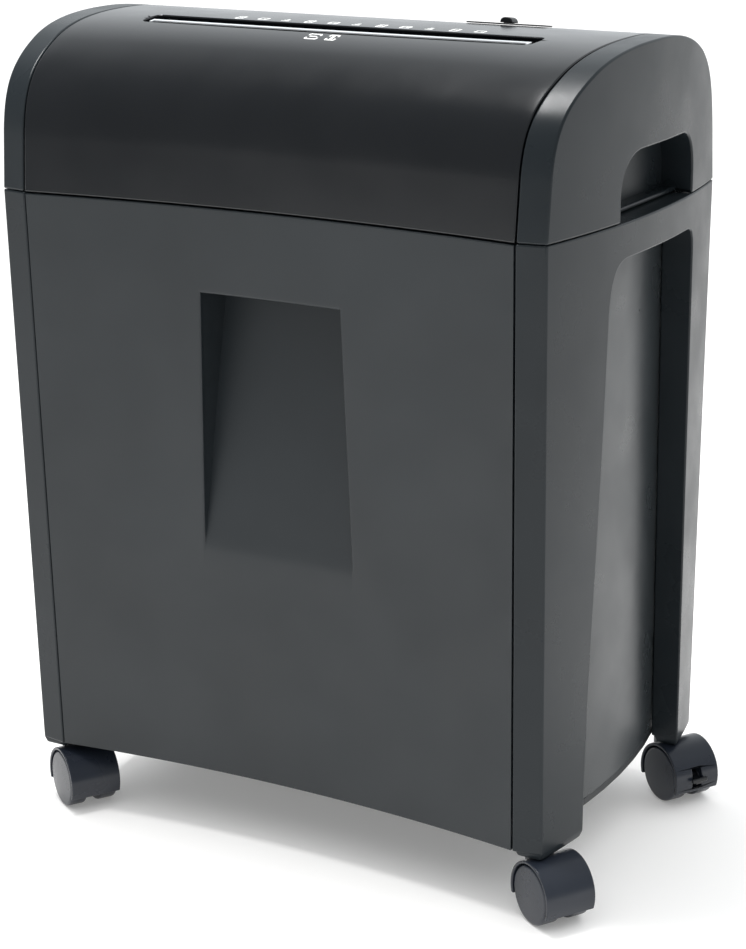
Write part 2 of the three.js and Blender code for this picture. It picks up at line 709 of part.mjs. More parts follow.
const BOARD = { left: -105, right: -10, front: 52, back: 96, low: 396, high: 397.6 };

// The board with a transformer, a capacitor, a relay and the three feet it stands on.
function circuitBoard() {
  const { left, right, front, back, low, high } = BOARD;
  const sunk = high - GAP;
  const foot = (x, y) => box(x, x + 8, y, y + 5, TRAY_TOP + GAP, sunk);
  return join(
    box(left, right, front, back, low, high),
    box(left + 7, left + 35, front + 8, front + 32, sunk, high + 22),
    box(left + 45, left + 61, front + 6, front + 20, sunk, high + 16),
    box(left + 69, left + 87, front + 24, front + 40, sunk, high + 11),
    foot(left + 5, front + 2),
    foot(right - 10, front + 2),
    foot(left + 45, back - 8),
  );
}

add("circuit_board", circuitBoard(), boardGreen);

// The bush in the rear wall where the mains lead would leave.
const glandFace = HALF_DEPTH.seam + CORNER_BEVEL;
const GLAND_RADIUS = { neck: 6, flange: 9, bore: 3.5 };
const glandRod = (radius, from, to) =>
  rod(alongY, radius, [GLAND.x, GLAND.z], glandFace + from, glandFace + to, 12);
add(
  "cord_gland",
  cut(
    join(glandRod(GLAND_RADIUS.neck, -12, 3), glandRod(GLAND_RADIUS.flange, 0.5, 3)),
    glandRod(GLAND_RADIUS.bore, -20, 9),
  ),
  gumRubber,
);

// A switch under the tray closes when the magnet behind the bin front is beside it.
const SENSOR_X = 60;
const REED = { half: 9, front: -88, back: -79, low: 379 };
const MAGNET = { half: 8, front: -101, back: -94, low: 375, high: 383.7 };
add(
  "reed_switch",
  box(SENSOR_X - REED.half, SENSOR_X + REED.half, REED.front, REED.back, REED.low, CABINET_TOP),
  deepBlack,
);
add(
  "bin_magnet",
  box(
    SENSOR_X - MAGNET.half,
    SENSOR_X + MAGNET.half,
    MAGNET.front,
    MAGNET.back,
    MAGNET.low,
    MAGNET.high,
  ),
  motorSteel,
);

// ---------------------------------------------------------------- pull-out bin

const PANEL_GAP = 0.9;
const PANEL_DEPTH = 20;
const PANEL_BASE = FOOT_Z + 0.5;
const PANEL_TOP = SEAM_Z - 1;

// A block behind the scoop's opening that deepens from its bottom edge to its top.
function scoopBlock(grow, proud) {
  const low = SCOOP.bottom - grow;
  const high = SCOOP.top + grow;
  return formed([1, 1, 1], (u, v, w) => {
    const z = lerp(low, high, w);
    const t = clamp((z - SCOOP.bottom) / (SCOOP.top - SCOOP.bottom), 0, 1.1);
    const half = lerp(SCOOP.halfBottom, SCOOP.halfTop, t) + grow;
    const face = frontY(0, z);
    const back = face + SCOOP.depth * t + grow;
    return [half * (2 * u - 1), lerp(face - proud, back, v), z];
  });
}

function binFront() {
  const panel = (inset) => ([u, v, w]) => {
    const z = lerp(PANEL_BASE + inset, PANEL_TOP - inset, w);
    const half = halfWidth(z) - STRIP - PANEL_GAP - inset;
    const x = half * (2 * u - 1);
    const back = -halfDepth(z) - CORNER_BEVEL + PANEL_DEPTH + (inset ? 5 : 0);
    return [x, lerp(frontY(x, z) + inset, back, v), z];
  };
  const outer = formed([BOW_STEPS, 1, 1], (...p) => panel(0)(p));
  const inner = formed([BOW_STEPS, 1, 1], (...p) => panel(WALL)(p));
  const shell = cut(outer, inner);
  const scoopWall = cut(scoopBlock(WALL, -1), scoopBlock(0, 20));
  return cut(join(shell, scoopWall), scoopBlock(0, 20));
}

add("bin_front_panel", binFront(), panelGrey);

function binTub() {
  const { half, front, back, floor, rim } = TUB;
  const outer = box(-half, half, front, back, floor, rim);
  const inner = box(
    -half + BIN_WALL,
    half - BIN_WALL,
    front + BIN_WALL,
    back - BIN_WALL,
    floor + BIN_WALL,
    rim + 10,
  );
  const bump = common(scoopBlock(WALL + GAP + BIN_WALL, 20), outer);
  const flange = box(-half - 4, half + 4, -100, front + 1, rim - 7, rim - 4);
  return cut(join(cut(outer, inner), bump, flange), scoopBlock(WALL + GAP, 20));
}

add("bin_tub", binTub(), tubBlack);

// ---------------------------------------------------------------- casters

const AXLE_Z = WHEEL_RADIUS;
const BRAKE_PIVOT = [TRAIL + 12, AXLE_Z];
const WHEEL_ROOM = 0.8; // clearance round a wheel inside the hood

// Outline of the part of the hood that is kept, in (x along the trail, z).
function hoodShape(radius) {
  const shape = new THREE.Shape();
  const drop = (z) => Math.asin((z - AXLE_Z) / HOOD_RADIUS);
  const { trailing, leading } = HOOD_SKIRT_Z;
  shape.absarc(TRAIL, AXLE_Z, radius, drop(trailing), Math.PI - drop(leading), false);
  return shape;
}

function casterHood(braked) {
  const disc = (radius, y0, y1) => rod(alongY, radius, [TRAIL, AXLE_Z], y0, y1, 24);
  const keep = alongY(hoodShape(HOOD_RADIUS + 0.01), -HOOD_HALF, HOOD_HALF);
  const body = common(disc(HOOD_RADIUS, -HOOD_HALF, HOOD_HALF), keep);
  const boss = rod(alongZ, 8, [0, 0], 20, SHOE_Z - 2 * GAP, 16);
  const web = WHEEL_IN - WHEEL_ROOM;
  const nearCavity = disc(WHEEL_RADIUS + WHEEL_ROOM, -30, -web);
  const farCavity = disc(WHEEL_RADIUS + WHEEL_ROOM, web, 30);
  const stemBore = rod(alongZ, STEM_RADIUS + GAP, [0, 0], 24, 60);
  const axleBore = rod(alongY, AXLE_RADIUS + GAP, [TRAIL, AXLE_Z], -20, 20, 12);
  const solid = cut(join(body, boss), nearCavity, farCavity, stemBore, axleBore);
  if (!braked) return solid;
  const [px, pz] = BRAKE_PIVOT;
  const socket = rod(alongY, 4.5, BRAKE_PIVOT, -20, 20, 16);
  const slot = box(px, px + 20, -3.4, 3.4, pz - 5, pz + 8);
  return cut(solid, socket, slot);
}

function casterWheel(side) {
  const bore = AXLE_RADIUS + GAP;
  const profile = [
    [0, AXLE_HALF + GAP],
    [bore, AXLE_HALF + GAP],
    [bore, WHEEL_IN],
    [WHEEL_RADIUS - 1.5, WHEEL_IN],
    [WHEEL_RADIUS, WHEEL_IN + 1],
    [WHEEL_RADIUS, WHEEL_OUT - 1],
    [WHEEL_RADIUS - 1.2, WHEEL_OUT],
    [0, WHEEL_OUT + 0.5],
  ];
  const lathe = new THREE.LatheGeometry(profile.map(([r, y]) => new THREE.Vector2(r, y)), 20);
  return lathe.rotateZ(side < 0 ? Math.PI : 0);
}

// A hub between the wheels, and an arm through the hood to a small pedal behind it.
function brakeLever() {
  const [px, pz] = BRAKE_PIVOT;
  return join(
    rod(alongY, 4, BRAKE_PIVOT, -3, 3, 12),
    box(px, px + 10, -2.6, 2.6, pz - 1.5, pz + 2),
    box(px + 9, px + 11, -5.5, 5.5, pz, pz + 2.5),
  );
}

const CORNERS = [
  ["front_left", -STEM_X, STEM_Y.front, false],
  ["front_right", STEM_X, STEM_Y.front, false],
  ["rear_left", -STEM_X, STEM_Y.rear, true],
  ["rear_right", STEM_X, STEM_Y.rear, true],
];
for (const [corner, x, y, braked] of CORNERS) {
  const caster = new THREE.Group();
  caster.position.set(x, y, 0);
  caster.rotation.z = CASTER_TURN;
  shredder.add(caster);
  add(`caster_hood_${corner}`, casterHood(braked), casterBlack, caster);
  const stem = rod(alongZ, STEM_RADIUS, [0, 0], 25, STEM_TOP, 12);
  const axle = rod(alongY, AXLE_RADIUS, [TRAIL, AXLE_Z], -AXLE_HALF, AXLE_HALF, 12);
  add(`caster_stem_${corner}`, stem, steel, caster);
  add(`caster_axle_${corner}`, axle, steel, caster);
  for (const [place, side] of [["inner", 1], ["outer", -1]]) {
    const wheel = add(`caster_wheel_${place}_${corner}`, casterWheel(side), casterBlack, caster);
    wheel.position.set(TRAIL, 0, AXLE_Z);
  }
  if (braked) add(`brake_lever_${corner}`, brakeLever(), deepBlack, caster);
}

// ---------------------------------------------------------------- origin

const bounds = new THREE.Box3().setFromObject(shredder, true);
const middle = bounds.getCenter(new THREE.Vector3());
shredder.position.set(-middle.x, -middle.y, -bounds.min.z);

const part = new THREE.Group();
part.add(shredder);

export default part;
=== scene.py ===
"""A pull-out-bin paper shredder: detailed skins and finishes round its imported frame."""
import json
import math

import bmesh
import bpy
from mathutils import Matrix, Vector


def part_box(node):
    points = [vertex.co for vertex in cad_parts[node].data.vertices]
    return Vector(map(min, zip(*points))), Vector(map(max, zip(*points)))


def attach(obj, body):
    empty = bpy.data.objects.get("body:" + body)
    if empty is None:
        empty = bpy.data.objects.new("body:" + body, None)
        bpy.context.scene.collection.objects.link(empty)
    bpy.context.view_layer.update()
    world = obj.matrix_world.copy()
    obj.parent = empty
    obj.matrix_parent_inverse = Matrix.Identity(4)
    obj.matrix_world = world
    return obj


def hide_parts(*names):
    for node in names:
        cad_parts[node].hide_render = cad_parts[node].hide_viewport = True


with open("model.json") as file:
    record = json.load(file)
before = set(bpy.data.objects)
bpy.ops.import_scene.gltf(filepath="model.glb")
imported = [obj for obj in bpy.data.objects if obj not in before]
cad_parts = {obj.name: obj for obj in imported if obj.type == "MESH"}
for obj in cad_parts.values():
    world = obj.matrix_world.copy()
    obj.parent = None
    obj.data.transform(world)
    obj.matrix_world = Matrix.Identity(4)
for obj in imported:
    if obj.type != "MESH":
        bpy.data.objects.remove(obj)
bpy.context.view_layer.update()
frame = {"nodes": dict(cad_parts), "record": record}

# ---------------------------------------------------------------- dimensions, in millimetres

SEAM_Z = 388.0
FOOT_Z = 41.5
SEAM_GAP = 0.4
WALL = 3.0
HALF_WIDTH_FOOT, HALF_WIDTH_SEAM = 172.0, 175.0
HALF_DEPTH_FOOT, HALF_DEPTH_SEAM, BACK_DEPTH_FOOT = 104.0, 113.0, 109.5
SIDE_BOW = 10.5
CORNER_BEVEL = 2.7
STRIP = 17.0
FRONT_DISH = 11.2
CROWN_Z = 482.4
COVER_HALF = 157.6
CAP_START = 158.4
MOUTH_FRONT, MOUTH_BACK, MOUTH_HALF, MOUTH_CORNER = -38.2, -19.0, 128.0, 4.5
LINER_HALF, LINER_BOW, LINER_FRONT, LINER_THICKNESS = 152.0, 15.0, -76.0, 2.5

# The cabinet's middle in the row frame, read from the flat rear panel.
REAR_LOW, REAR_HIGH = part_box("rear_panel")
MID_X = (REAR_LOW.x + REAR_HIGH.x) / 2
MID_Y = REAR_HIGH.y - (HALF_DEPTH_SEAM + CORNER_BEVEL) / 1000
MIDDLE = Vector((MID_X, MID_Y, 0))


def lerp(a, b, t):
    return a + (b - a) * t


def clamp(v, low=0.0, high=1.0):
    return max(low, min(high, v))


def rise(z):
    return (z - FOOT_Z) / (SEAM_Z - FOOT_Z)


def half_width(z):
    return lerp(HALF_WIDTH_FOOT, HALF_WIDTH_SEAM, rise(z))


def half_depth(z):
    return lerp(HALF_DEPTH_FOOT, HALF_DEPTH_SEAM, rise(z))


def back_depth(z):
    return lerp(BACK_DEPTH_FOOT, HALF_DEPTH_SEAM, rise(z))


def bow(y, z):
    return 1 - (y / (half_depth(z) if y < 0 else back_depth(z))) ** 2


def side_x(y, z):
    return half_width(z) + SIDE_BOW * bow(y, z)


def front_y(x, z):
    return -half_depth(z) - CORNER_BEVEL + FRONT_DISH * (1 - (x / (half_width(z) - STRIP)) ** 2)


def liner_x(y, z):
    return LINER_HALF + LINER_BOW * bow(y, z)


def head_bow(y):
    return SIDE_BOW * (1 - (y / HALF_DEPTH_SEAM) ** 2)


# ---------------------------------------------------------------- curves


def bezier(a, b, c, d, steps):
    points = []
    for i in range(1, steps + 1):
        t = i / steps
        s = 1 - t
        weights = (s**3, 3 * s * s * t, 3 * s * t * t, t**3)
        points.append(tuple(sum(w * p[k] for w, p in zip(weights, (a, b, c, d))) for k in (0, 1)))
    return points


def line(a, b, steps):
    return [(lerp(a[0], b[0], i / steps), lerp(a[1], b[1], i / steps)) for i in range(1, steps + 1)]


def resampled(points, count):
    """The same path with evenly spaced points."""
    lengths = [0.0]
    for p, q in zip(points, points[1:]):
        lengths.append(lengths[-1] + math.dist(p, q))
    result, k = [], 0
    for i in range(count + 1):
        target = lengths[-1] * i / count
        while k < len(lengths) - 2 and lengths[k + 1] < target:
            k += 1
        t = (target - lengths[k]) / (lengths[k + 1] - lengths[k])
        result.append(tuple(lerp(p, q, t) for p, q in zip(points[k], points[k + 1])))
    return result


def head_outline():
    """The head's end outline in (y, z), from the front of the seam over to its back."""
    h, top = HALF_DEPTH_SEAM, CROWN_Z
    path = [(-h, SEAM_Z)]
    path += line((-h, SEAM_Z), (-h + 3, 422), 10)
    path += bezier((-h + 3, 422), (-107, 446), (-98, 458), (-73, 470), 24)
    path += bezier((-73, 470), (-52, 480.5), (-22, top), (6, top), 24)
    path += bezier((6, top), (34, top), (58, 478.5), (78, 468.5), 24)
    path += bezier((78, 468.5), (98, 457), (104, 444), (h - 4.5, 418), 24)
    path += line((h - 4.5, 418), (h, SEAM_Z), 10)
    return path


def inset_point(point, inset):
    y, z = point
    return (
        y * (1 - inset / HALF_DEPTH_SEAM),
        SEAM_Z + (z - SEAM_Z) * (1 - inset / (CROWN_Z - SEAM_Z)),
    )


# ---------------------------------------------------------------- meshes


class Solid:
    """Vertices and faces gathered in millimetres round the cabinet's middle."""

    def __init__(self):
        self.points = []
        self.faces = []

    def add(self, point):
        self.points.append(tuple(point))
        return len(self.points) - 1

    def shell(self, outer, inner, missing=None):
        """Closes two matching grids of points into one wall, round any missing cells too."""
        rows, columns = len(outer), len(outer[0])
        near = [[self.add(p) for p in row] for row in outer]
        far = [[self.add(p) for p in row] for row in inner]

        def kept(i, j):
            inside = 0 <= i < rows - 1 and 0 <= j < columns - 1
            return inside and not (missing and missing(i, j))

        for i in range(rows - 1):
            for j in range(columns - 1):
                if not kept(i, j):
                    continue
                cell = [(i, j), (i + 1, j), (i + 1, j + 1), (i, j + 1)]
                self.faces.append([near[a][b] for a, b in cell])
                self.faces.append([far[a][b] for a, b in reversed(cell)])
                neighbours = [(i, j - 1), (i + 1, j), (i, j + 1), (i - 1, j)]
                for k, beside in enumerate(neighbours):
                    if kept(*beside):
                        continue
                    (a, b), (c, d) = cell[k], cell[(k + 1) % 4]
                    self.faces.append([near[c][d], near[a][b], far[a][b], far[c][d]])

    def loft(self, rings):
        """Closes a run of rings of points, with a face over each end."""
        made = [[self.add(p) for p in ring] for ring in rings]
        for one, two in zip(made, made[1:]):
            for k in range(len(one)):
                n = (k + 1) % len(one)
                self.faces.append([one[k], one[n], two[n], two[k]])
        self.faces.append(made[0][::-1])
        self.faces.append(made[-1])

    def box(self, x, y, z):
        ring = [(x[0], y[0]), (x[1], y[0]), (x[1], y[1]), (x[0], y[1])]
        self.loft([[(a, b, level) for a, b in ring] for level in z])

    def prism_x(self, outline, x0, x1):
        self.loft([[(x, y, z) for y, z in outline] for x in (x0, x1)])

    def prism_z(self, outline, z0, z1):
        self.loft([[(x, y, z) for x, y in outline] for z in (z0, z1)])

    def mirrored(self):
        other = Solid()
        other.points = [(-x, y, z) for x, y, z in self.points]
        other.faces = [face[::-1] for face in self.faces]
        return other


SAME_PLACE = 2e-6


def cleaned(mesh):
    """Merges a mesh's doubled points and turns its faces outwards."""
    work = bmesh.new()
    work.from_mesh(mesh)
    bmesh.ops.remove_doubles(work, verts=work.verts, dist=SAME_PLACE)
    bmesh.ops.dissolve_degenerate(work, edges=work.edges, dist=SAME_PLACE)
    bmesh.ops.recalc_face_normals(work, faces=work.faces)
    work.to_mesh(mesh)
    work.free()
    return mesh


def mesh_of(solid):
    mesh = bpy.data.meshes.new("solid")
    mesh.from_pydata([Vector(p) / 1000 for p in solid.points], [], solid.faces)
    return cleaned(mesh)


def carved(base, joined=(), kept=(), cut=()):
    """A solid with others joined to it, kept inside others, and cut away by others."""
    target = bpy.data.objects.new("base", mesh_of(base))
    bpy.context.scene.collection.objects.link(target)
    tools = []
    for operation, solids in (("UNION", joined), ("INTERSECT", kept), ("DIFFERENCE", cut)):
        for solid in solids:
            tool = bpy.data.objects.new("tool", mesh_of(solid))
            bpy.context.scene.collection.objects.link(tool)
            step = target.modifiers.new("step", "BOOLEAN")
            step.operation = operation
            step.solver = "EXACT"
            step.object = tool
            tools.append(tool)
    bpy.context.view_layer.update()
    shape = target.evaluated_get(bpy.context.evaluated_depsgraph_get())
    mesh = bpy.data.meshes.new_from_object(shape)
    for obj in [target] + tools:
        bpy.data.objects.remove(obj)
    return cleaned(mesh)


BEVELLED_ANGLE, SHARP_BEVELLED, SHARP_PLAIN = (math.radians(degrees) for degrees in (38, 50, 35))


def piece(name, shape, material, body, stands_for, bevel=0.0, segments=3, turn=None):
    """Makes a shaded object from a solid or mesh, which rides on a body and stands for CAD nodes.

    Its edges are rounded by bevel, in millimetres, and turn is a matrix that places it."""
    mesh = mesh_of(shape) if isinstance(shape, Solid) else shape.copy()
    mesh.name = name
    mesh.transform(turn or Matrix.Identity(4))
    mesh.transform(Matrix.Translation(MIDDLE))
    mesh.materials.clear()
    mesh.materials.append(material)
    mesh.polygons.foreach_set("use_smooth", [True] * len(mesh.polygons))
    obj = bpy.data.objects.new(name, mesh)
    bpy.context.scene.collection.objects.link(obj)
    if bevel:
        rounding = obj.modifiers.new("rounding", "BEVEL")
        rounding.width = bevel / 1000
        rounding.segments = segments
        rounding.limit_method = "ANGLE"
        rounding.angle_limit = BEVELLED_ANGLE
        rounding.use_clamp_overlap = False
    mesh.set_sharp_from_angle(angle=SHARP_BEVELLED if bevel else SHARP_PLAIN)
    weighted = obj.modifiers.new("shading", "WEIGHTED_NORMAL")
    weighted.keep_sharp = True
    weighted.weight = 90
    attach(obj, body)
    if stands_for:
        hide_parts(*stands_for)


# ---------------------------------------------------------------- materials


# Noise scales, in waves a metre, and how wide and how deep the wear and the grain are, in metres.
PATCHES, SMEARS, CHIPS = 9.0, 26.0, 160.0
RUBBED_RADIUS, GRAIN_HEIGHT = 0.0012, 0.0002


def moulded(
    name, colour, rough, grain=0.12, grain_size=0.35, sheen=0.05, wear=0.3, metal=0.0, shine=0.5
):
    """Grained, slightly uneven plastic or metal whose edges have rubbed lighter.

    The grain's size is in millimetres, sheen is how far the roughness strays, and wear is how
    much of the rubbed colour shows on the sharpest edges."""
    material = bpy.data.materials.new(name)
    material.use_nodes = True
    nodes, links = material.node_tree.nodes, material.node_tree.links
    surface = nodes["Principled BSDF"]
    surface.inputs["Metallic"].default_value = metal
    surface.inputs["Specular IOR Level"].default_value = shine
    place = nodes.new("ShaderNodeTexCoord")

    def noise(scale, detail):
        texture = nodes.new("ShaderNodeTexNoise")
        texture.inputs["Scale"].default_value = scale
        texture.inputs["Detail"].default_value = detail
        links.new(place.outputs["Object"], texture.inputs["Vector"])
        return texture.outputs["Fac"]

    def ranged(source, low, high, start=0.35, end=0.65):
        span = nodes.new("ShaderNodeMapRange")
        span.inputs["From Min"].default_value = start
        span.inputs["From Max"].default_value = end
        span.inputs["To Min"].default_value = low
        span.inputs["To Max"].default_value = high
        links.new(source, span.inputs["Value"])
        return span.outputs["Result"]

    def mixed(amount, low, high):
        mix = nodes.new("ShaderNodeMix")
        mix.data_type = "RGBA"
        links.new(amount, mix.inputs["Factor"])
        for socket, value in (("A", low), ("B", high)):
            target = [s for s in mix.inputs if s.name == socket and s.type == "RGBA"][0]
            if isinstance(value, tuple):
                target.default_value = (*value, 1)
            else:
                links.new(value, target)
        return [s for s in mix.outputs if s.type == "RGBA"][0]

    darker = tuple(c * 0.9 for c in colour)
    lighter = tuple(min(1.0, c * 1.1 + 0.002) for c in colour)
    tone = mixed(ranged(noise(PATCHES, 3.0), 0.0, 1.0), darker, lighter)

    # Edges: where a rounded normal leaves the true one, the finish is rubbed.
    rounded = nodes.new("ShaderNodeBevel")
    rounded.samples = 3
    rounded.inputs["Radius"].default_value = RUBBED_RADIUS
    geometry = nodes.new("ShaderNodeNewGeometry")
    dot = nodes.new("ShaderNodeVectorMath")
    dot.operation = "DOT_PRODUCT"
    links.new(rounded.outputs["Normal"], dot.inputs[0])
    links.new(geometry.outputs["Normal"], dot.inputs[1])
    edge = ranged(dot.outputs["Value"], wear, 0.0, 0.80, 0.985)
    broken = nodes.new("ShaderNodeMath")
    broken.operation = "MULTIPLY"
    links.new(edge, broken.inputs[0])
    links.new(ranged(noise(CHIPS, 4.0), 0.15, 1.0), broken.inputs[1])
    rubbed = tuple(min(1.0, c * 1.5 + 0.02) for c in colour)
    links.new(mixed(broken.outputs["Value"], tone, rubbed), surface.inputs["Base Color"])

    uneven = nodes.new("ShaderNodeMath")
    uneven.operation = "ADD"
    links.new(ranged(noise(SMEARS, 5.0), rough - sheen, rough + sheen), uneven.inputs[0])
    links.new(ranged(broken.outputs["Value"], 0.0, 0.12, 0.0, 1.0), uneven.inputs[1])
    links.new(uneven.outputs["Value"], surface.inputs["Roughness"])

    bump = nodes.new("ShaderNodeBump")
    bump.inputs["Strength"].default_value = grain
    bump.inputs["Distance"].default_value = GRAIN_HEIGHT
    links.new(noise(1000 / grain_size, 2.0), bump.inputs["Height"])
    links.new(bump.outputs["Normal"], surface.inputs["Normal"])
    return material


CHARCOAL = moulded("charcoal satin", (0.013, 0.017, 0.020), 0.31, shine=0.25)
PANEL = moulded("grey panel", (0.009, 0.013, 0.016), 0.48, sheen=0.025)
GLOSS = moulded("gloss black", (0.0045, 0.0055, 0.007), 0.19, grain=0.01, sheen=0.02, wear=0.1)
TRIM = moulded("black trim", (0.006, 0.007, 0.009), 0.36)
INNER = moulded("inner wall", (0.024, 0.029, 0.032), 0.32)
TUB = moulded("bin plastic", (0.014, 0.016, 0.018), 0.55, grain=0.2)
CASTER = moulded("caster plastic", (0.014, 0.018, 0.027), 0.30, grain=0.05)
NYLON = moulded("nylon", (0.62, 0.60, 0.54), 0.42, grain=0.05, wear=0.1)
BOARD = moulded("circuit board", (0.02, 0.11, 0.045), 0.35, grain=0.3, grain_size=1.2)
RUBBER = moulded("rubber", (0.020, 0.020, 0.022), 0.75, grain=0.3)
PLATED = moulded("plated steel", (0.58, 0.59, 0.60), 0.28, grain=0.06, wear=0.2, metal=1.0)
TOOL = moulded("tool steel", (0.36, 0.37, 0.38), 0.30, grain=0.15, wear=0.5, metal=1.0)
MOTOR = moulded("motor steel", (0.42, 0.43, 0.44), 0.36, grain=0.12, wear=0.2, metal=1.0)
# Painted reflection: a light grey finish that stands in for the glossy black lip of the paper mouth
# catching the light.
PAINTED_LIP_REFLECTION = moulded("painted lip reflection", (0.55, 0.57, 0.59), 0.15, grain=0.02, sheen=0.02, wear=0.05)
INK = moulded("printed marks", (0.92, 0.93, 0.90), 0.5, grain=0.05, wear=0.0)

SLOT_FINISH = {
    "charcoal_shell": CHARCOAL,
    "grey_panel": PANEL,
    "gloss_cover": GLOSS,
    "black_trim": TRIM,
    "bin_plastic": TUB,
    "caster_plastic": CASTER,
    "nylon": NYLON,
    "board": BOARD,
    "rubber_bush": RUBBER,
    "plated_steel": PLATED,
    "tool_steel": TOOL,
    "motor_steel": MOTOR,
}
for entry in frame["record"]["subparts"]:
    mesh = frame["nodes"][entry["node"]].data
    mesh.materials.clear()
    mesh.materials.append(SLOT_FINISH[entry["material_slot"]])

# ---------------------------------------------------------------- head cover

SLANT = CORNER_BEVEL / HALF_DEPTH_SEAM
OUTLINE = resampled(head_outline(), 400)


def profile_at(share):
    spot = clamp(share) * (len(OUTLINE) - 1)
    k = min(int(spot), len(OUTLINE) - 2)
    return tuple(lerp(p, q, spot - k) for p, q in zip(OUTLINE[k], OUTLINE[k + 1]))


def share_at(y):
    """How far along the outline its depth reaches y."""
    for k in range(len(OUTLINE) - 1):
        if OUTLINE[k][0] <= y <= OUTLINE[k + 1][0]:
            t = (y - OUTLINE[k][0]) / (OUTLINE[k + 1][0] - OUTLINE[k][0])
            return (k + t) / (len(OUTLINE) - 1)
    return 1.0


def dish_scale(x, y):
    depth = FRONT_DISH / (HALF_DEPTH_SEAM + CORNER_BEVEL)
    dish = depth * max(0.0, 1 - (x / COVER_HALF) ** 2) if y < 0 else 0.0
    return (1 + SLANT) * (1 - dish)


def cover_point(x_share, y_share, inset):
    y0, z0 = profile_at(y_share)
    x = x_share * (COVER_HALF + head_bow(y0))
    y, z = inset_point((y0, z0), inset)
    return x, y * dish_scale(x, y0), max(z, SEAM_Z)


def surface_z(x, y):
    """The height of the cover's outside at a place on its crown."""
    return profile_at(share_at(y / dish_scale(x, y)))[1]


VENT_LOW, VENT_HIGH, VENT_HALF = 402.0, 428.0, 2.0
VENTS = [60 + 12 * (i - 3) for i in range(7)]
GLAND_X, GLAND_HIGH, GLAND_HALF = -112.0, 413.0, 5.0
# Steps over the cover: up the front, over the mouth, back to the vents, down them in two halves,
# the lower beside the lead's bush, and on to the seam.
COVER_STEPS = [44, 4, 44, 8, 8, 8]
HAIR = 1e-6


def rows_of(first, last):
    """The grid's rows in a run of the cover's stretches."""
    return range(sum(COVER_STEPS[:first]), sum(COVER_STEPS[: last + 1]))


MOUTH_ROWS, VENT_ROWS, GLAND_ROWS = rows_of(1, 1), rows_of(3, 4), rows_of(4, 4)


def rear_share(z):
    """How far along the outline its rear wall comes down to z."""
    return next(k for k in range(len(OUTLINE) - 1, 0, -1) if OUTLINE[k][1] >= z) / (len(OUTLINE) - 1)


def spread(marks, steps):
    """The marks in order, with evenly spaced values put between neighbours."""
    values = [marks[0]]
    for low, high, count in zip(marks, marks[1:], steps):
        values += [lerp(low, high, i / count) for i in range(1, count + 1)]
    return values


def cover():
    middle = (MOUTH_FRONT + MOUTH_BACK) / 2
    length = COVER_HALF + head_bow(middle)
    straight = MOUTH_HALF - MOUTH_CORNER
    sides = [straight + MOUTH_CORNER * math.sin(i / 6 * math.pi / 2) for i in range(7)]
    sides += [lerp(MOUTH_HALF, length, i / 9) for i in range(1, 10)]
    lines = {edge for x in VENTS for edge in (x - VENT_HALF, x + VENT_HALF)}
    lines |= {GLAND_X - GLAND_HALF, GLAND_X + GLAND_HALF}
    even = [lerp(-straight, straight, i / 44) for i in range(1, 44)]
    even = [x for x in even if all(abs(x - edge) > 1.5 for edge in lines)]
    stations = sorted([-x for x in sides] + sides + even + list(lines))
    rear = [rear_share(z) for z in (VENT_HIGH, GLAND_HIGH, VENT_LOW)]
    outer, inner = [], []
    for x in stations:
        scale = dish_scale(x, middle)
        past = clamp((abs(x) - straight) / MOUTH_CORNER)
        rounding = MOUTH_CORNER * (1 - math.sqrt(1 - past**2))
        low = share_at((MOUTH_FRONT + rounding) / scale)
        high = share_at((MOUTH_BACK - rounding) / scale)
        shares = spread([0.0, low, high] + rear + [1.0], COVER_STEPS)
        outer.append([cover_point(x / length, share, 0) for share in shares])
        inner.append([cover_point(x / length, share, WALL) for share in shares])

    def opening(i, j):
        left, right = stations[i], stations[i + 1]

        def within(x, half):
            return left >= x - half - HAIR and right <= x + half + HAIR

        if j in MOUTH_ROWS and within(0, MOUTH_HALF):
            return True
        if j in GLAND_ROWS and within(GLAND_X, GLAND_HALF):
            return True
        return j in VENT_ROWS and any(within(x, VENT_HALF) for x in VENTS)

    solid = Solid()
    solid.shell(outer, inner, opening)
    return solid


piece("vault_cover", cover(), GLOSS, "cabinet", ["top_cover"], 0.8)

# ---------------------------------------------------------------- end caps

GRIP_FRONT, GRIP_BACK, GRIP_TOP, GRIP_FLOOR, GRIP_SILL = -41.0, 63.0, 425.0, 163.0, 172.0
CAP_STEPS = 150


def grip_outline(grow, base=SEAM_Z):
    front, back, top = GRIP_FRONT - grow, GRIP_BACK + grow, GRIP_TOP + grow
    path = [(front, base)]
    path += line((front, base), (front, top - 24), 8)
    path += bezier((front, top - 24), (front, top - 10), (front + 10, top), (front + 26, top), 16)
    path += line((front + 26, top), (back - 20, top), 12)
    path += bezier((back - 20, top), (back - 8, top), (back, top - 8), (back, top - 24), 16)
    path += line((back, top - 24), (back, base), 8)
    return resampled(path, CAP_STEPS)


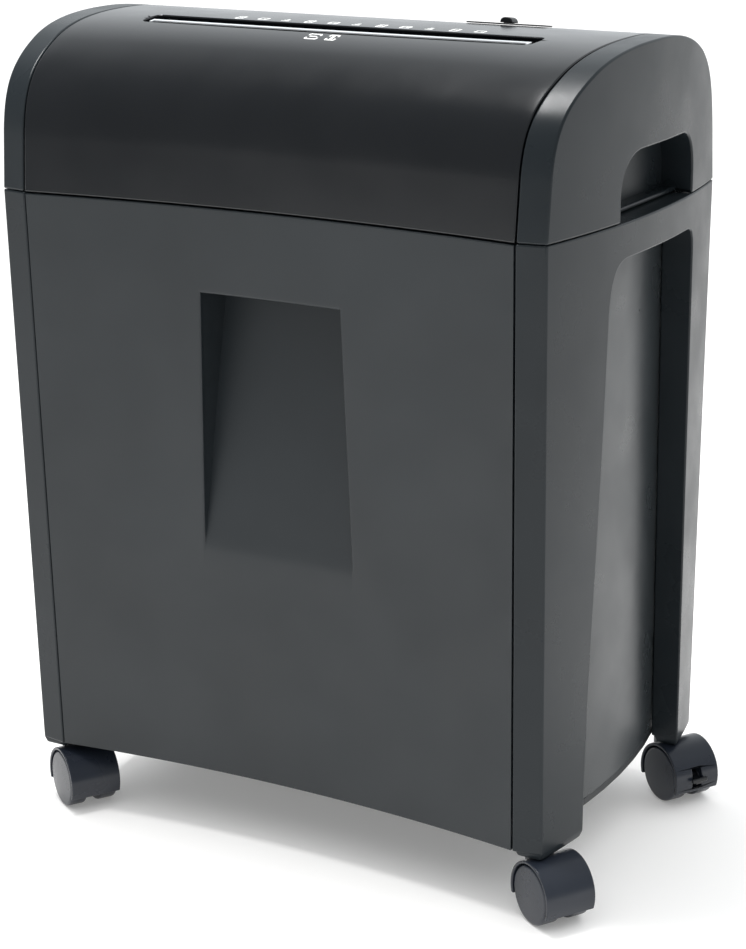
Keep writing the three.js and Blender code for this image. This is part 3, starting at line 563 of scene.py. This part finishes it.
def end_cap():
    arch = resampled(head_outline(), CAP_STEPS)
    grips = {0: grip_outline(0), WALL: grip_outline(WALL)}
    side = HALF_WIDTH_SEAM
    band, face = 4, 12

    def section(k, inset):
        edge = inset_point(arch[k], inset)
        hole = grips[inset][k]
        points = []
        for i in range(band + 1):
            t = i / band
            start = CAP_START + head_bow(edge[0])
            x = lerp(start, side - inset + head_bow(edge[0]), t)
            points.append((x, edge[0] * (1 + SLANT * (1 - t)), edge[1]))
        for i in range(1, face + 1):
            y, z = (lerp(a, b, i / face) for a, b in zip(edge, hole))
            points.append((side - inset + head_bow(y), y, z))
        points.append((GRIP_FLOOR - 2, *hole))
        return points

    solid = Solid()
    rows = range(CAP_STEPS + 1)
    solid.shell([section(k, 0) for k in rows], [section(k, WALL) for k in rows])
    # The recess's back plate and its sill reach a little into the shell round them.
    plate = grip_outline(0.8, SEAM_Z + 0.2)
    solid.prism_x(plate, GRIP_FLOOR - WALL, GRIP_FLOOR)
    sill_y, sill_z = (GRIP_FRONT - 0.5, GRIP_BACK + 0.5), (SEAM_Z + 0.1, SEAM_Z + WALL)
    solid.box((GRIP_FLOOR - 1, GRIP_SILL), sill_y, sill_z)
    return solid


cap = end_cap()
piece("shell_cap_right", cap, CHARCOAL, "cabinet", ["end_cap_right"], 1.1)
piece("shell_cap_left", cap.mirrored(), CHARCOAL, "cabinet", ["end_cap_left"], 1.1)

# ---------------------------------------------------------------- side frames

WINDOW_TOP, WINDOW_FRONT, WINDOW_FRONT_TOP = 367.5, -63.5, -50.0
WINDOW_BACK, WINDOW_BACK_TOP = 77.2, 68.5
FRAME_TOP = SEAM_Z - SEAM_GAP


def window_outline(grow):
    """Its front, top and back runs, each as a list of (y, z) points."""
    top, front = WINDOW_TOP + grow, WINDOW_FRONT - grow
    front_top, back = WINDOW_FRONT_TOP - grow, WINDOW_BACK_TOP + grow
    rise_run = [(front, FOOT_Z)] + line((front, FOOT_Z), (front, 56.5), 2)
    knee = (front_top - 1, top - 32)
    rise_run += bezier((front, 56.5), (front, 131.5), (front_top - 4, 231.5), knee, 30)
    corner = bezier(knee, (front_top, top - 10), (front_top + 6, top), (front_top + 20, top), 16)
    rise_run += corner[:8]
    top_run = corner[7:] + line((front_top + 20, top), (back - 12, top), 12)
    turn = bezier((back - 12, top), (back - 4, top), (back, top - 4), (back, top - 12), 12)
    top_run += turn[:6]
    back_run = turn[5:] + line((back, top - 12), (WINDOW_BACK + grow, FOOT_Z), 30)
    return rise_run, top_run, back_run


def frame_outline(inset):
    top = FRAME_TOP - inset
    front = [(-half_depth(FOOT_Z) + inset, FOOT_Z)]
    front += line(front[0], (-half_depth(top) + inset, top), 40)
    over = [front[-1]] + line(front[-1], (back_depth(top) - inset, top), 40)
    back = [over[-1]] + line(over[-1], (back_depth(FOOT_Z) - inset, FOOT_Z), 44)
    return front, over, back


SHOE_Z, SHOE_TAPER, HEEL_TAPER, SHOE_MARGIN = 37.6, 1.4, 8.0, 2.0


def shoe(solid, low, high, high_taper):
    """The foot under a leg, which narrows downwards and most at its heel."""

    def ring(z, share):
        narrowing = SHOE_TAPER * share
        depths = [lerp(low + narrowing, high - high_taper * share, i / 12) for i in range(13)]
        outer = [(side_x(y, FOOT_Z) - narrowing, y, z) for y in depths]
        roots = [max(HALF_WIDTH_FOOT - STRIP, liner_x(y, FOOT_Z) + SHOE_MARGIN) for y in depths]
        inner = [(root + narrowing, y, z) for root, y in zip(roots, depths)]
        return outer + inner[::-1]

    solid.loft([ring(SHOE_Z, 1.0), ring(FOOT_Z + 0.05, 0.02), ring(FOOT_Z + WALL, 0.02)])


def side_frame():
    counts = (60, 70, 60)
    face = 10

    def path(runs):
        joined = []
        for run, count in zip(runs, counts):
            joined += resampled(run, count)[1 if joined else 0 :]
        return joined

    outlines = {w: (path(frame_outline(w)), path(window_outline(w))) for w in (0, WALL)}

    def section(k, inset):
        edge, hole = outlines[inset][0][k], outlines[inset][1][k]
        y, z = edge
        root = max(half_width(z) - STRIP, liner_x(y, z) + SEAM_GAP)
        points = [(root, y * (1 + CORNER_BEVEL / half_depth(z)), z)]
        for i in range(face + 1):
            y, z = (lerp(a, b, i / face) for a, b in zip(edge, hole))
            points.append((side_x(y, z) - inset, y, z))
        points.append((liner_x(*hole) + SEAM_GAP, *hole))
        return points

    rows = range(len(outlines[0][0]))
    solid = Solid()
    solid.shell([section(k, 0) for k in rows], [section(k, WALL) for k in rows])
    shoe(solid, -HALF_DEPTH_FOOT, WINDOW_FRONT, SHOE_TAPER)
    shoe(solid, WINDOW_BACK, BACK_DEPTH_FOOT, HEEL_TAPER)
    return solid


shell = side_frame()
piece("leg_frame_right", shell, CHARCOAL, "cabinet", ["side_frame_right"], 1.0)
piece("leg_frame_left", shell.mirrored(), CHARCOAL, "cabinet", ["side_frame_left"], 1.0)


LINER_FLOOR, LINER_BACK_GAP = FOOT_Z + 4.3, 3.6


def side_wall():
    def grid(inset):
        rows = []
        for i in range(61):
            rows.append([])
            for j in range(25):
                z = lerp(LINER_FLOOR, FRAME_TOP, j / 24)
                y = lerp(LINER_FRONT, back_depth(z) - LINER_BACK_GAP, i / 60)
                rows[-1].append((liner_x(y, z) - inset, y, z))
        return rows

    solid = Solid()
    solid.shell(grid(0), grid(LINER_THICKNESS))
    return solid


wall = side_wall()
piece("inner_wall_right", wall, INNER, "cabinet", ["side_wall_right"], 0.5, 2)
piece("inner_wall_left", wall.mirrored(), INNER, "cabinet", ["side_wall_left"], 0.5, 2)


def rear_panel():
    def section(z):
        x = half_width(z) - STRIP - 0.5
        y = back_depth(z) + CORNER_BEVEL
        return [(-x, y - WALL, z), (x, y - WALL, z), (x, y, z), (-x, y, z)]

    solid = Solid()
    solid.loft([section(lerp(FOOT_Z, FRAME_TOP, i / 12)) for i in range(13)])
    return solid


piece("back_sheet", rear_panel(), PANEL, "cabinet", ["rear_panel"], 0.8, 3)

# ---------------------------------------------------------------- bin front

PANEL_BASE, PANEL_TOP, PANEL_DEPTH, PANEL_GAP = FOOT_Z + 0.5, SEAM_Z - 1.0, 20.0, 0.9
EDGE_ROUND, PANEL_LEAN = 0.9, 8.8
SCOOP_TOP, SCOOP_BOTTOM, SCOOP_DEPTH = 338.0, 182.0, 27.0
SCOOP_HALF_TOP, SCOOP_HALF_BOTTOM = 45.6, 49.8
# Steps across the scoop's rim: how far inside its edge, and how deep it may be there.
FREE = 1e3
RIM = [(-1.4, 0.0), (-0.7, 0.12), (-0.25, 0.45), (0.0, 1.0), (0.15, FREE), (0.8, FREE), (1.8, FREE)]


def scoop_half(z):
    t = clamp((z - SCOOP_BOTTOM) / (SCOOP_TOP - SCOOP_BOTTOM))
    return lerp(SCOOP_HALF_BOTTOM, SCOOP_HALF_TOP, t)


def rim_depth(inside):
    """How deep the rim lets the scoop be, at a distance inside its edge."""
    if inside <= RIM[0][0]:
        return 0.0
    for (a, low), (b, high) in zip(RIM, RIM[1:]):
        if inside <= b:
            return lerp(low, high, (inside - a) / (b - a))
    return FREE


def scoop_depth(x, z):
    t = clamp((z - SCOOP_BOTTOM) / (SCOOP_TOP - SCOOP_BOTTOM))
    soft = min(1.0, (z - SCOOP_BOTTOM) / 14) if z > SCOOP_BOTTOM else 0.0
    inside = min(scoop_half(z) - abs(x), SCOOP_TOP - z)
    return min(SCOOP_DEPTH * t * lerp(0.75, 1, soft), rim_depth(inside))


def bin_front():
    def columns(z):
        half = half_width(z) - STRIP - PANEL_GAP
        edge = scoop_half(z)
        outside = [lerp(-half, -edge - 3, i / 22) for i in range(22)]
        across = [lerp(-edge + 3, edge - 3, i / 12) for i in range(13)]
        rims = [-edge + step for step, _ in RIM]
        left = outside + [-edge - 3] + rims
        return left + across + [-x for x in reversed(left)]

    rows = [lerp(PANEL_BASE, SCOOP_BOTTOM, i / 14) for i in range(14)]
    rows += [lerp(SCOOP_BOTTOM, SCOOP_TOP - 3, i / 30) for i in range(31)]
    rows += [SCOOP_TOP - step for step, _ in reversed(RIM)]
    rows += [lerp(SCOOP_TOP + 3, PANEL_TOP - EDGE_ROUND, i / 5) for i in range(5)]
    rows += [PANEL_TOP - EDGE_ROUND * (1 - math.sin(i / 5 * math.pi / 2)) for i in range(6)]

    def grid(inset):
        made = []
        for z in [rows[0]] + rows + [rows[-1]]:
            made.append([])
            at = clamp(z, PANEL_BASE + inset, PANEL_TOP - inset)
            line_x = columns(z)
            limit = half_width(z) - STRIP - PANEL_GAP - inset
            for x in [line_x[0]] + line_x + [line_x[-1]]:
                x = clamp(x, -limit, limit)
                y = front_y(x, at) + scoop_depth(x, z) + inset
                if not inset:
                    past = clamp(1 - (PANEL_TOP - z) / EDGE_ROUND)
                    y += EDGE_ROUND * (1 - math.sqrt(1 - past**2))
                made[-1].append([x, y, at])
        # The outermost points fold back into the panel's four sides.
        back = -half_depth(PANEL_BASE) - CORNER_BEVEL + PANEL_DEPTH
        sides = [point for row in made for point in (row[0], row[-1])]
        for point in sides + made[0] + made[-1]:
            point[1] = lerp(back, back - PANEL_LEAN, rise(point[2]))
        return made

    solid = Solid()
    solid.shell(grid(0), grid(WALL))
    return solid


piece("bin_face", bin_front(), PANEL, "bin", ["bin_front_panel"])

# ---------------------------------------------------------------- paper mouth and marks


def strip_on_cover(solid, x, y, half_x, half_y, low, high, steps=1):
    """A thin block that follows the crown, between two heights above its surface."""
    rings = []
    for i in range(steps + 1):
        along = lerp(x - half_x, x + half_x, i / steps)
        ring = [(y - half_y, low), (y + half_y, low), (y + half_y, high), (y - half_y, high)]
        rings.append([(along, depth, surface_z(along, depth) + lift) for depth, lift in ring])
    solid.loft(rings)


# Place and heights of the painted lip reflection strip along the front of the paper mouth.
REFLECTION_X, REFLECTION_HALF, REFLECTION_SPAN = 0.5, 124.0, (-1.4, -0.4)
INK_DEPTH = 0.05
MARK_COUNT, MARK_FIRST, MARK_PITCH, MARK_Y = 11, -74.0, 15.8, -12.2


def lip_reflection_strip():
    """A light strip along the front of the paper mouth, turned forwards at its ends: a painted
    reflection, where the glossy black lip there catches the light.
    """
    solid = Solid()
    strip_on_cover(solid, REFLECTION_X, -31.2, REFLECTION_HALF, 1.3, *REFLECTION_SPAN, 40)
    for side in (-1, 1):
        end = REFLECTION_X + side * (REFLECTION_HALF - 0.8)
        strip_on_cover(solid, end, -33.6, 0.8, 1.4, *REFLECTION_SPAN)
    return solid


def mark(solid, x, y, half_x, half_y):
    """A printed bar."""
    strip_on_cover(solid, x, y, half_x, half_y, -INK_DEPTH, INK_DEPTH)


def outline_box(solid, x, y, half_x, half_y, line_width):
    for side in (-1, 1):
        mark(solid, x + side * half_x, y, line_width / 2, half_y)
        mark(solid, x, y + side * half_y, half_x, line_width / 2)


def pictograms():
    """Plain marks for what the mouth takes and what it doesn't, in a row behind it."""
    solid = Solid()
    for k in range(MARK_COUNT):
        x, y = MARK_FIRST + MARK_PITCH * k, MARK_Y
        if k % 3 == 0:
            outline_box(solid, x, y, 2.1, 3.6, 0.9)
            mark(solid, x, y, 1.0, 0.5)
        elif k % 3 == 1:
            outline_box(solid, x, y, 2.7, 2.6, 0.9)
            mark(solid, x + 1.1, y - 0.6, 0.6, 0.6)
        else:
            for i in range(3):
                mark(solid, x, y - 2.4 + 2.4 * i, 2.5 - 0.7 * i, 0.5)
    # The pair in front of the mouth: a sheet and a card.
    outline_box(solid, -4.5, -45.2, 3.6, 3.8, 1.1)
    mark(solid, -4.5, -45.2, 2.4, 0.6)
    outline_box(solid, 8.0, -45.2, 2.8, 3.8, 1.1)
    mark(solid, 8.0, -45.2, 0.9, 2.4)
    return solid


# The light strip is a painted reflection on the mouth's glossy black lip, not a light-coloured part.
piece("lip_reflection_strip", lip_reflection_strip(), PAINTED_LIP_REFLECTION, "cabinet", [], 0.2, 2)
piece("mode_marks", pictograms(), INK, "cabinet", [])

# ---------------------------------------------------------------- mode switch

SWITCH_X, SWITCH_Y, SWITCH_BASE, SWITCH_SLOPE = 78.0, 35.0, 481.15, -0.125
SWITCH_HALF_LENGTH, SWITCH_HALF_WIDTH, SWITCH_THICKNESS = 25.5, 6.5, 0.8
KNOB_HALF, KNOB_HEIGHT, KNOB_BASE = 4.0, 3.2, SWITCH_BASE + 1.1
STEM_HALF_LENGTH, STEM_HALF_WIDTH, TRACK_HALF_LENGTH = 3.0, 1.4, 9.3


def rounded_rect(x, y, half_x, half_y, radius, steps=6):
    points = []
    for cx, cy, turn in ((1, -1, -90), (1, 1, 0), (-1, 1, 90), (-1, -1, 180)):
        for i in range(steps + 1):
            a = math.radians(turn + 90 * i / steps)
            points.append((x + cx * (half_x - radius) + radius * math.cos(a),
                           y + cy * (half_y - radius) + radius * math.sin(a)))
    return points


def leaning(solid):
    """Tips a solid back along the rear of the crown."""
    solid.points = [(x, y, z + SWITCH_SLOPE * (y - SWITCH_Y)) for x, y, z in solid.points]
    return solid


def switch_plate():
    x, y, top = SWITCH_X, SWITCH_Y, SWITCH_BASE + SWITCH_THICKNESS
    plate, track = Solid(), Solid()
    plate.prism_z(rounded_rect(x, y, SWITCH_HALF_LENGTH, SWITCH_HALF_WIDTH, 3), SWITCH_BASE, top)
    slot = rounded_rect(x, y, TRACK_HALF_LENGTH, STEM_HALF_WIDTH + 0.3, 0.6)
    track.prism_z(slot, SWITCH_BASE - 1, top + 1)
    return carved(leaning(plate), cut=[leaning(track)])


def switch_knob():
    solid = Solid()
    x, y, base, high = SWITCH_X, SWITCH_Y, KNOB_BASE, KNOB_BASE + KNOB_HEIGHT
    left, right = x - KNOB_HALF, x + KNOB_HALF
    outline = [(left, base), (right, base)]
    outline += bezier((right, base), (right - 0.2, high - 0.9), (right - 1.4, high), (x, high), 8)
    outline += bezier((x, high), (left + 1.4, high), (left + 0.2, high - 0.9), (left, base), 8)[:-1]
    solid.loft([[(a, y + side, b) for a, b in outline] for side in (-KNOB_HALF, KNOB_HALF)])
    solid.box(
        (x - STEM_HALF_LENGTH, x + STEM_HALF_LENGTH),
        (y - STEM_HALF_WIDTH, y + STEM_HALF_WIDTH),
        (SWITCH_BASE, base + 1),
    )
    return leaning(solid)


piece("switch_bezel", switch_plate(), TRIM, "cabinet", ["switch_plate"], 0.25, 2)
piece("switch_slider", switch_knob(), TRIM, "mode_knob", ["mode_switch_knob"], 0.5)


# ---------------------------------------------------------------- casters

STEM_X, STEM_Y = 162.0, {"front": -86.0, "rear": 97.0}
TRAIL, WHEEL_RADIUS, WHEEL_IN, WHEEL_OUT, WHEEL_ROOM = 14.5, 17.2, 4.3, 15.5, 0.8
HOOD_RADIUS, HOOD_HALF, SKIRT_TRAILING, SKIRT_LEADING = 19.8, 15.8, 9.5, 11.3
AXLE_RADIUS, AXLE_HALF, BORE_ROOM = 2.5, 13.0, 0.3
NECK_RADIUS, NECK_FOOT, STEM_BORE_RADIUS, STEM_BORE_FOOT = 8.0, 20.0, 4.3, 24.0
BRAKE_X, BRAKE_BORE_RADIUS, BRAKE_BOSS_RADIUS = TRAIL + 12, 4.5, 4.0
BRAKE_SLOT_HALF, BRAKE_SLOT_LOW, BRAKE_SLOT_HIGH = 3.4, WHEEL_RADIUS - 5, WHEEL_RADIUS + 8
CASTER_TURN = math.radians(-32)
BEYOND = 30.0


def wheel_ring(radius, y, centre_x=TRAIL, sides=72):
    """Points round an axis across the caster, at the height of the wheels' axle."""
    turns = [2 * math.pi * k / sides for k in range(sides)]
    return [(centre_x + radius * math.cos(t), y, WHEEL_RADIUS + radius * math.sin(t)) for t in turns]


def disc(radius, y0, y1, centre_x=TRAIL, sides=72):
    solid = Solid()
    solid.loft([wheel_ring(radius, y, centre_x, sides) for y in (y0, y1)])
    return solid


def post(radius, z0, z1, sides=40):
    solid = Solid()
    turns = [2 * math.pi * k / sides for k in range(sides)]
    solid.prism_z([(radius * math.cos(t), radius * math.sin(t)) for t in turns], z0, z1)
    return solid


def caster_hood(braked):
    """A drum with room for both wheels, cut off along its skirt, with a neck for the stem."""
    start = math.asin((SKIRT_TRAILING - WHEEL_RADIUS) / HOOD_RADIUS)
    finish = math.pi - math.asin((SKIRT_LEADING - WHEEL_RADIUS) / HOOD_RADIUS)
    turns = [lerp(start, finish, i / 20) for i in range(21)]
    rays = [(BEYOND, t) for t in turns] + [(HOOD_RADIUS, t) for t in (finish, start)]
    outline = [(TRAIL + r * math.cos(t), WHEEL_RADIUS + r * math.sin(t)) for r, t in rays]
    keep = Solid()
    keep.loft([[(x, y, z) for x, z in outline] for y in (-BEYOND, BEYOND)])
    web, room = WHEEL_IN - WHEEL_ROOM, WHEEL_RADIUS + WHEEL_ROOM
    cut = [disc(room, -BEYOND, -web), disc(room, web, BEYOND)]
    cut.append(post(STEM_BORE_RADIUS, STEM_BORE_FOOT, 60))
    cut.append(disc(AXLE_RADIUS + BORE_ROOM, -20, 20, sides=32))
    if braked:
        slot = Solid()
        heights = BRAKE_SLOT_LOW, BRAKE_SLOT_HIGH
        slot.box((BRAKE_X, BRAKE_X + 20), (-BRAKE_SLOT_HALF, BRAKE_SLOT_HALF), heights)
        cut += [disc(BRAKE_BORE_RADIUS, -20, 20, BRAKE_X, 40), slot]
    neck = post(NECK_RADIUS, NECK_FOOT, SHOE_Z - 0.6)
    return carved(disc(HOOD_RADIUS, -HOOD_HALF, HOOD_HALF), [neck], [keep], cut)


def rounded_corner(corner, before, after, radius, steps=5):
    """A quarter round in place of a profile's corner, between its two straight neighbours."""

    def towards(point):
        length = math.dist(corner, point)
        return tuple(lerp(a, b, radius / length) for a, b in zip(corner, point))

    start, end = towards(before), towards(after)
    points = []
    for i in range(steps + 1):
        t = i / steps
        weights = (1 - t) ** 2, 2 * t * (1 - t), t * t
        spots = zip(start, corner, end)
        points.append(tuple(sum(w * part for w, part in zip(weights, parts)) for parts in spots))
    return points


INNER_SHOULDER, OUTER_SHOULDER, CAP_INSET, CAP_CROWN = 1.6, 2.2, 2.5, 0.5


def caster_wheel(side):
    """A wheel with a blind bore, rounded shoulders and a slightly crowned outer face."""
    bore, tread, out = AXLE_RADIUS + BORE_ROOM, WHEEL_RADIUS, WHEEL_OUT
    inner, outer = (tread, WHEEL_IN), (tread, out)
    profile = [(bore, AXLE_HALF + BORE_ROOM), (bore, WHEEL_IN)]
    profile += rounded_corner(inner, (tread - 4, WHEEL_IN), outer, INNER_SHOULDER)
    profile += rounded_corner(outer, inner, (tread - 4, out), OUTER_SHOULDER)
    for i in range(8):
        share = 1 - i / 8
        profile.append(((tread - CAP_INSET) * share, out + CAP_CROWN * (1 - share**2)))
    solid = Solid()
    solid.loft([wheel_ring(r, side * y) for r, y in profile])
    return solid


def brake_lever():
    tread = Solid()
    tread.box((BRAKE_X + 9, BRAKE_X + 11), (-5.5, 5.5), (WHEEL_RADIUS, WHEEL_RADIUS + 2.5))
    arm = Solid()
    arm.box((BRAKE_X, BRAKE_X + 10), (-2.6, 2.6), (WHEEL_RADIUS - 1.5, WHEEL_RADIUS + 2))
    return carved(disc(BRAKE_BOSS_RADIUS, -3, 3, BRAKE_X, 40), [arm, tread])


hoods = {braked: caster_hood(braked) for braked in (False, True)}
wheels = {"inner": mesh_of(caster_wheel(1)), "outer": mesh_of(caster_wheel(-1))}
lever = brake_lever()
CORNERS = [(end, hand) for end in STEM_Y for hand in ("left", "right")]
for end, hand in CORNERS:
    corner = f"{end}_{hand}"
    stem_x = STEM_X if hand == "right" else -STEM_X
    stem = Matrix.Translation((stem_x / 1000, STEM_Y[end] / 1000, 0))
    turn = stem @ Matrix.Rotation(CASTER_TURN, 4, "Z")
    braked = end == "rear"
    hood_node, hood_body = f"caster_hood_{corner}", f"caster_{corner}"
    hood = hoods[braked]
    piece(f"hood_{corner}", hood, CASTER, hood_body, [hood_node], 0.6, turn=turn)
    for place, mesh in wheels.items():
        name, node = f"wheel_{place}_{corner}", f"caster_wheel_{place}_{corner}"
        piece(f"{name}_tyre", mesh, CASTER, name, [node], turn=turn)
    if braked:
        node, name = f"brake_lever_{corner}", f"brake_{hand}_pedal"
        piece(name, lever, TRIM, f"brake_{corner}", [node], 0.5, turn=turn)

# ---------------------------------------------------------------- camera, light and floor

CAMERA = Vector((0.67529, -1.15462, 0.62367)) + MIDDLE
VIEW_TURN, VIEW_DROP = math.radians(28.41), math.radians(15.39)
SENSOR, LENS, SHIFT_X, SHIFT_Y, FARTHEST = 36.0, 87.35, -0.0688, -0.0777, 50.0
camera_data = bpy.data.cameras.new("camera")
camera_data.sensor_width = SENSOR
camera_data.sensor_fit = "VERTICAL"
camera_data.sensor_height = SENSOR
camera_data.lens = LENS
camera_data.shift_x = SHIFT_X
camera_data.shift_y = SHIFT_Y
camera_data.clip_end = FARTHEST
camera = bpy.data.objects.new("camera", camera_data)
bpy.context.scene.collection.objects.link(camera)
camera.location = CAMERA
camera.rotation_euler = (math.pi / 2 - VIEW_DROP, 0, VIEW_TURN)
bpy.context.scene.camera = camera


FLOOR_COLOUR, FLOOR_GLOW, FLOOR_HALF = (0.86, 0.85, 0.84), 0.18, 6.0


def plain(name, colour, glow):
    material = bpy.data.materials.new(name)
    material.use_nodes = True
    surface = material.node_tree.nodes["Principled BSDF"]
    surface.inputs["Base Color"].default_value = (*colour, 1)
    surface.inputs["Roughness"].default_value = 0.9
    surface.inputs["Emission Color"].default_value = (1, 0.995, 0.98, 1)
    surface.inputs["Emission Strength"].default_value = glow
    return material


floor_mesh = bpy.data.meshes.new("floor")
corners = [(x * FLOOR_HALF, y * FLOOR_HALF, 0) for x, y in ((-1, -1), (1, -1), (1, 1), (-1, 1))]
floor_mesh.from_pydata(corners, [], [(0, 1, 2, 3)])
floor_mesh.materials.append(plain("floor", FLOOR_COLOUR, FLOOR_GLOW))
floor = bpy.data.objects.new("floor", floor_mesh)
bpy.context.scene.collection.objects.link(floor)


def studio_sky(front, rear, zenith):
    """A world that is bright low down behind the object, dim in front of it and dark above."""
    world = bpy.data.worlds.new("studio")
    world.use_nodes = True
    nodes, links = world.node_tree.nodes, world.node_tree.links
    place = nodes.new("ShaderNodeTexCoord")
    split = nodes.new("ShaderNodeSeparateXYZ")
    links.new(place.outputs["Generated"], split.inputs["Vector"])

    def ramp(source, start, end, low, high):
        span = nodes.new("ShaderNodeMapRange")
        span.interpolation_type = "SMOOTHSTEP"
        span.inputs["From Min"].default_value = start
        span.inputs["From Max"].default_value = end
        for socket, value in (("To Min", low), ("To Max", high)):
            if isinstance(value, float):
                span.inputs[socket].default_value = value
            else:
                links.new(value, span.inputs[socket])
        links.new(source, span.inputs["Value"])
        return span.outputs["Result"]

    level = ramp(split.outputs["Y"], -0.2, 0.8, front, rear)
    level = ramp(split.outputs["Z"], 0.65, 0.99, level, zenith)
    background = nodes["Background"]
    background.inputs["Color"].default_value = (0.93, 0.97, 1.0, 1)
    links.new(level, background.inputs["Strength"])
    bpy.context.scene.world = world


studio_sky(front=0.32, rear=1.05, zenith=0.32)
bpy.context.scene.view_settings.view_transform = "Standard"


def softbox(name, place, target, size, power, reflected=True):
    data = bpy.data.lights.new(name, "AREA")
    data.shape = "RECTANGLE"
    data.size, data.size_y = size
    data.energy = power
    light = bpy.data.objects.new(name, data)
    bpy.context.scene.collection.objects.link(light)
    light.location = Vector(place)
    light.rotation_euler = (Vector(target) - light.location).to_track_quat("-Z", "Y").to_euler()
    light.visible_glossy = reflected


def even_light(power, spread):
    """A lamp straight above, spread over an angle in degrees, that lights the floor evenly."""
    data = bpy.data.lights.new("even", "SUN")
    data.energy = power
    data.angle = math.radians(spread)
    light = bpy.data.objects.new("even", data)
    bpy.context.scene.collection.objects.link(light)
    light.visible_glossy = False


even_light(2.4, 100)
softbox("front_fill", (0.9, -2.4, 1.1), (0, 0, 0.1), (1.6, 1.0), 6, reflected=False)
softbox("cap_glint", (-0.295, -0.09, 1.88), (0.17, -0.09, 0.459), (0.7, 0.3), 24)
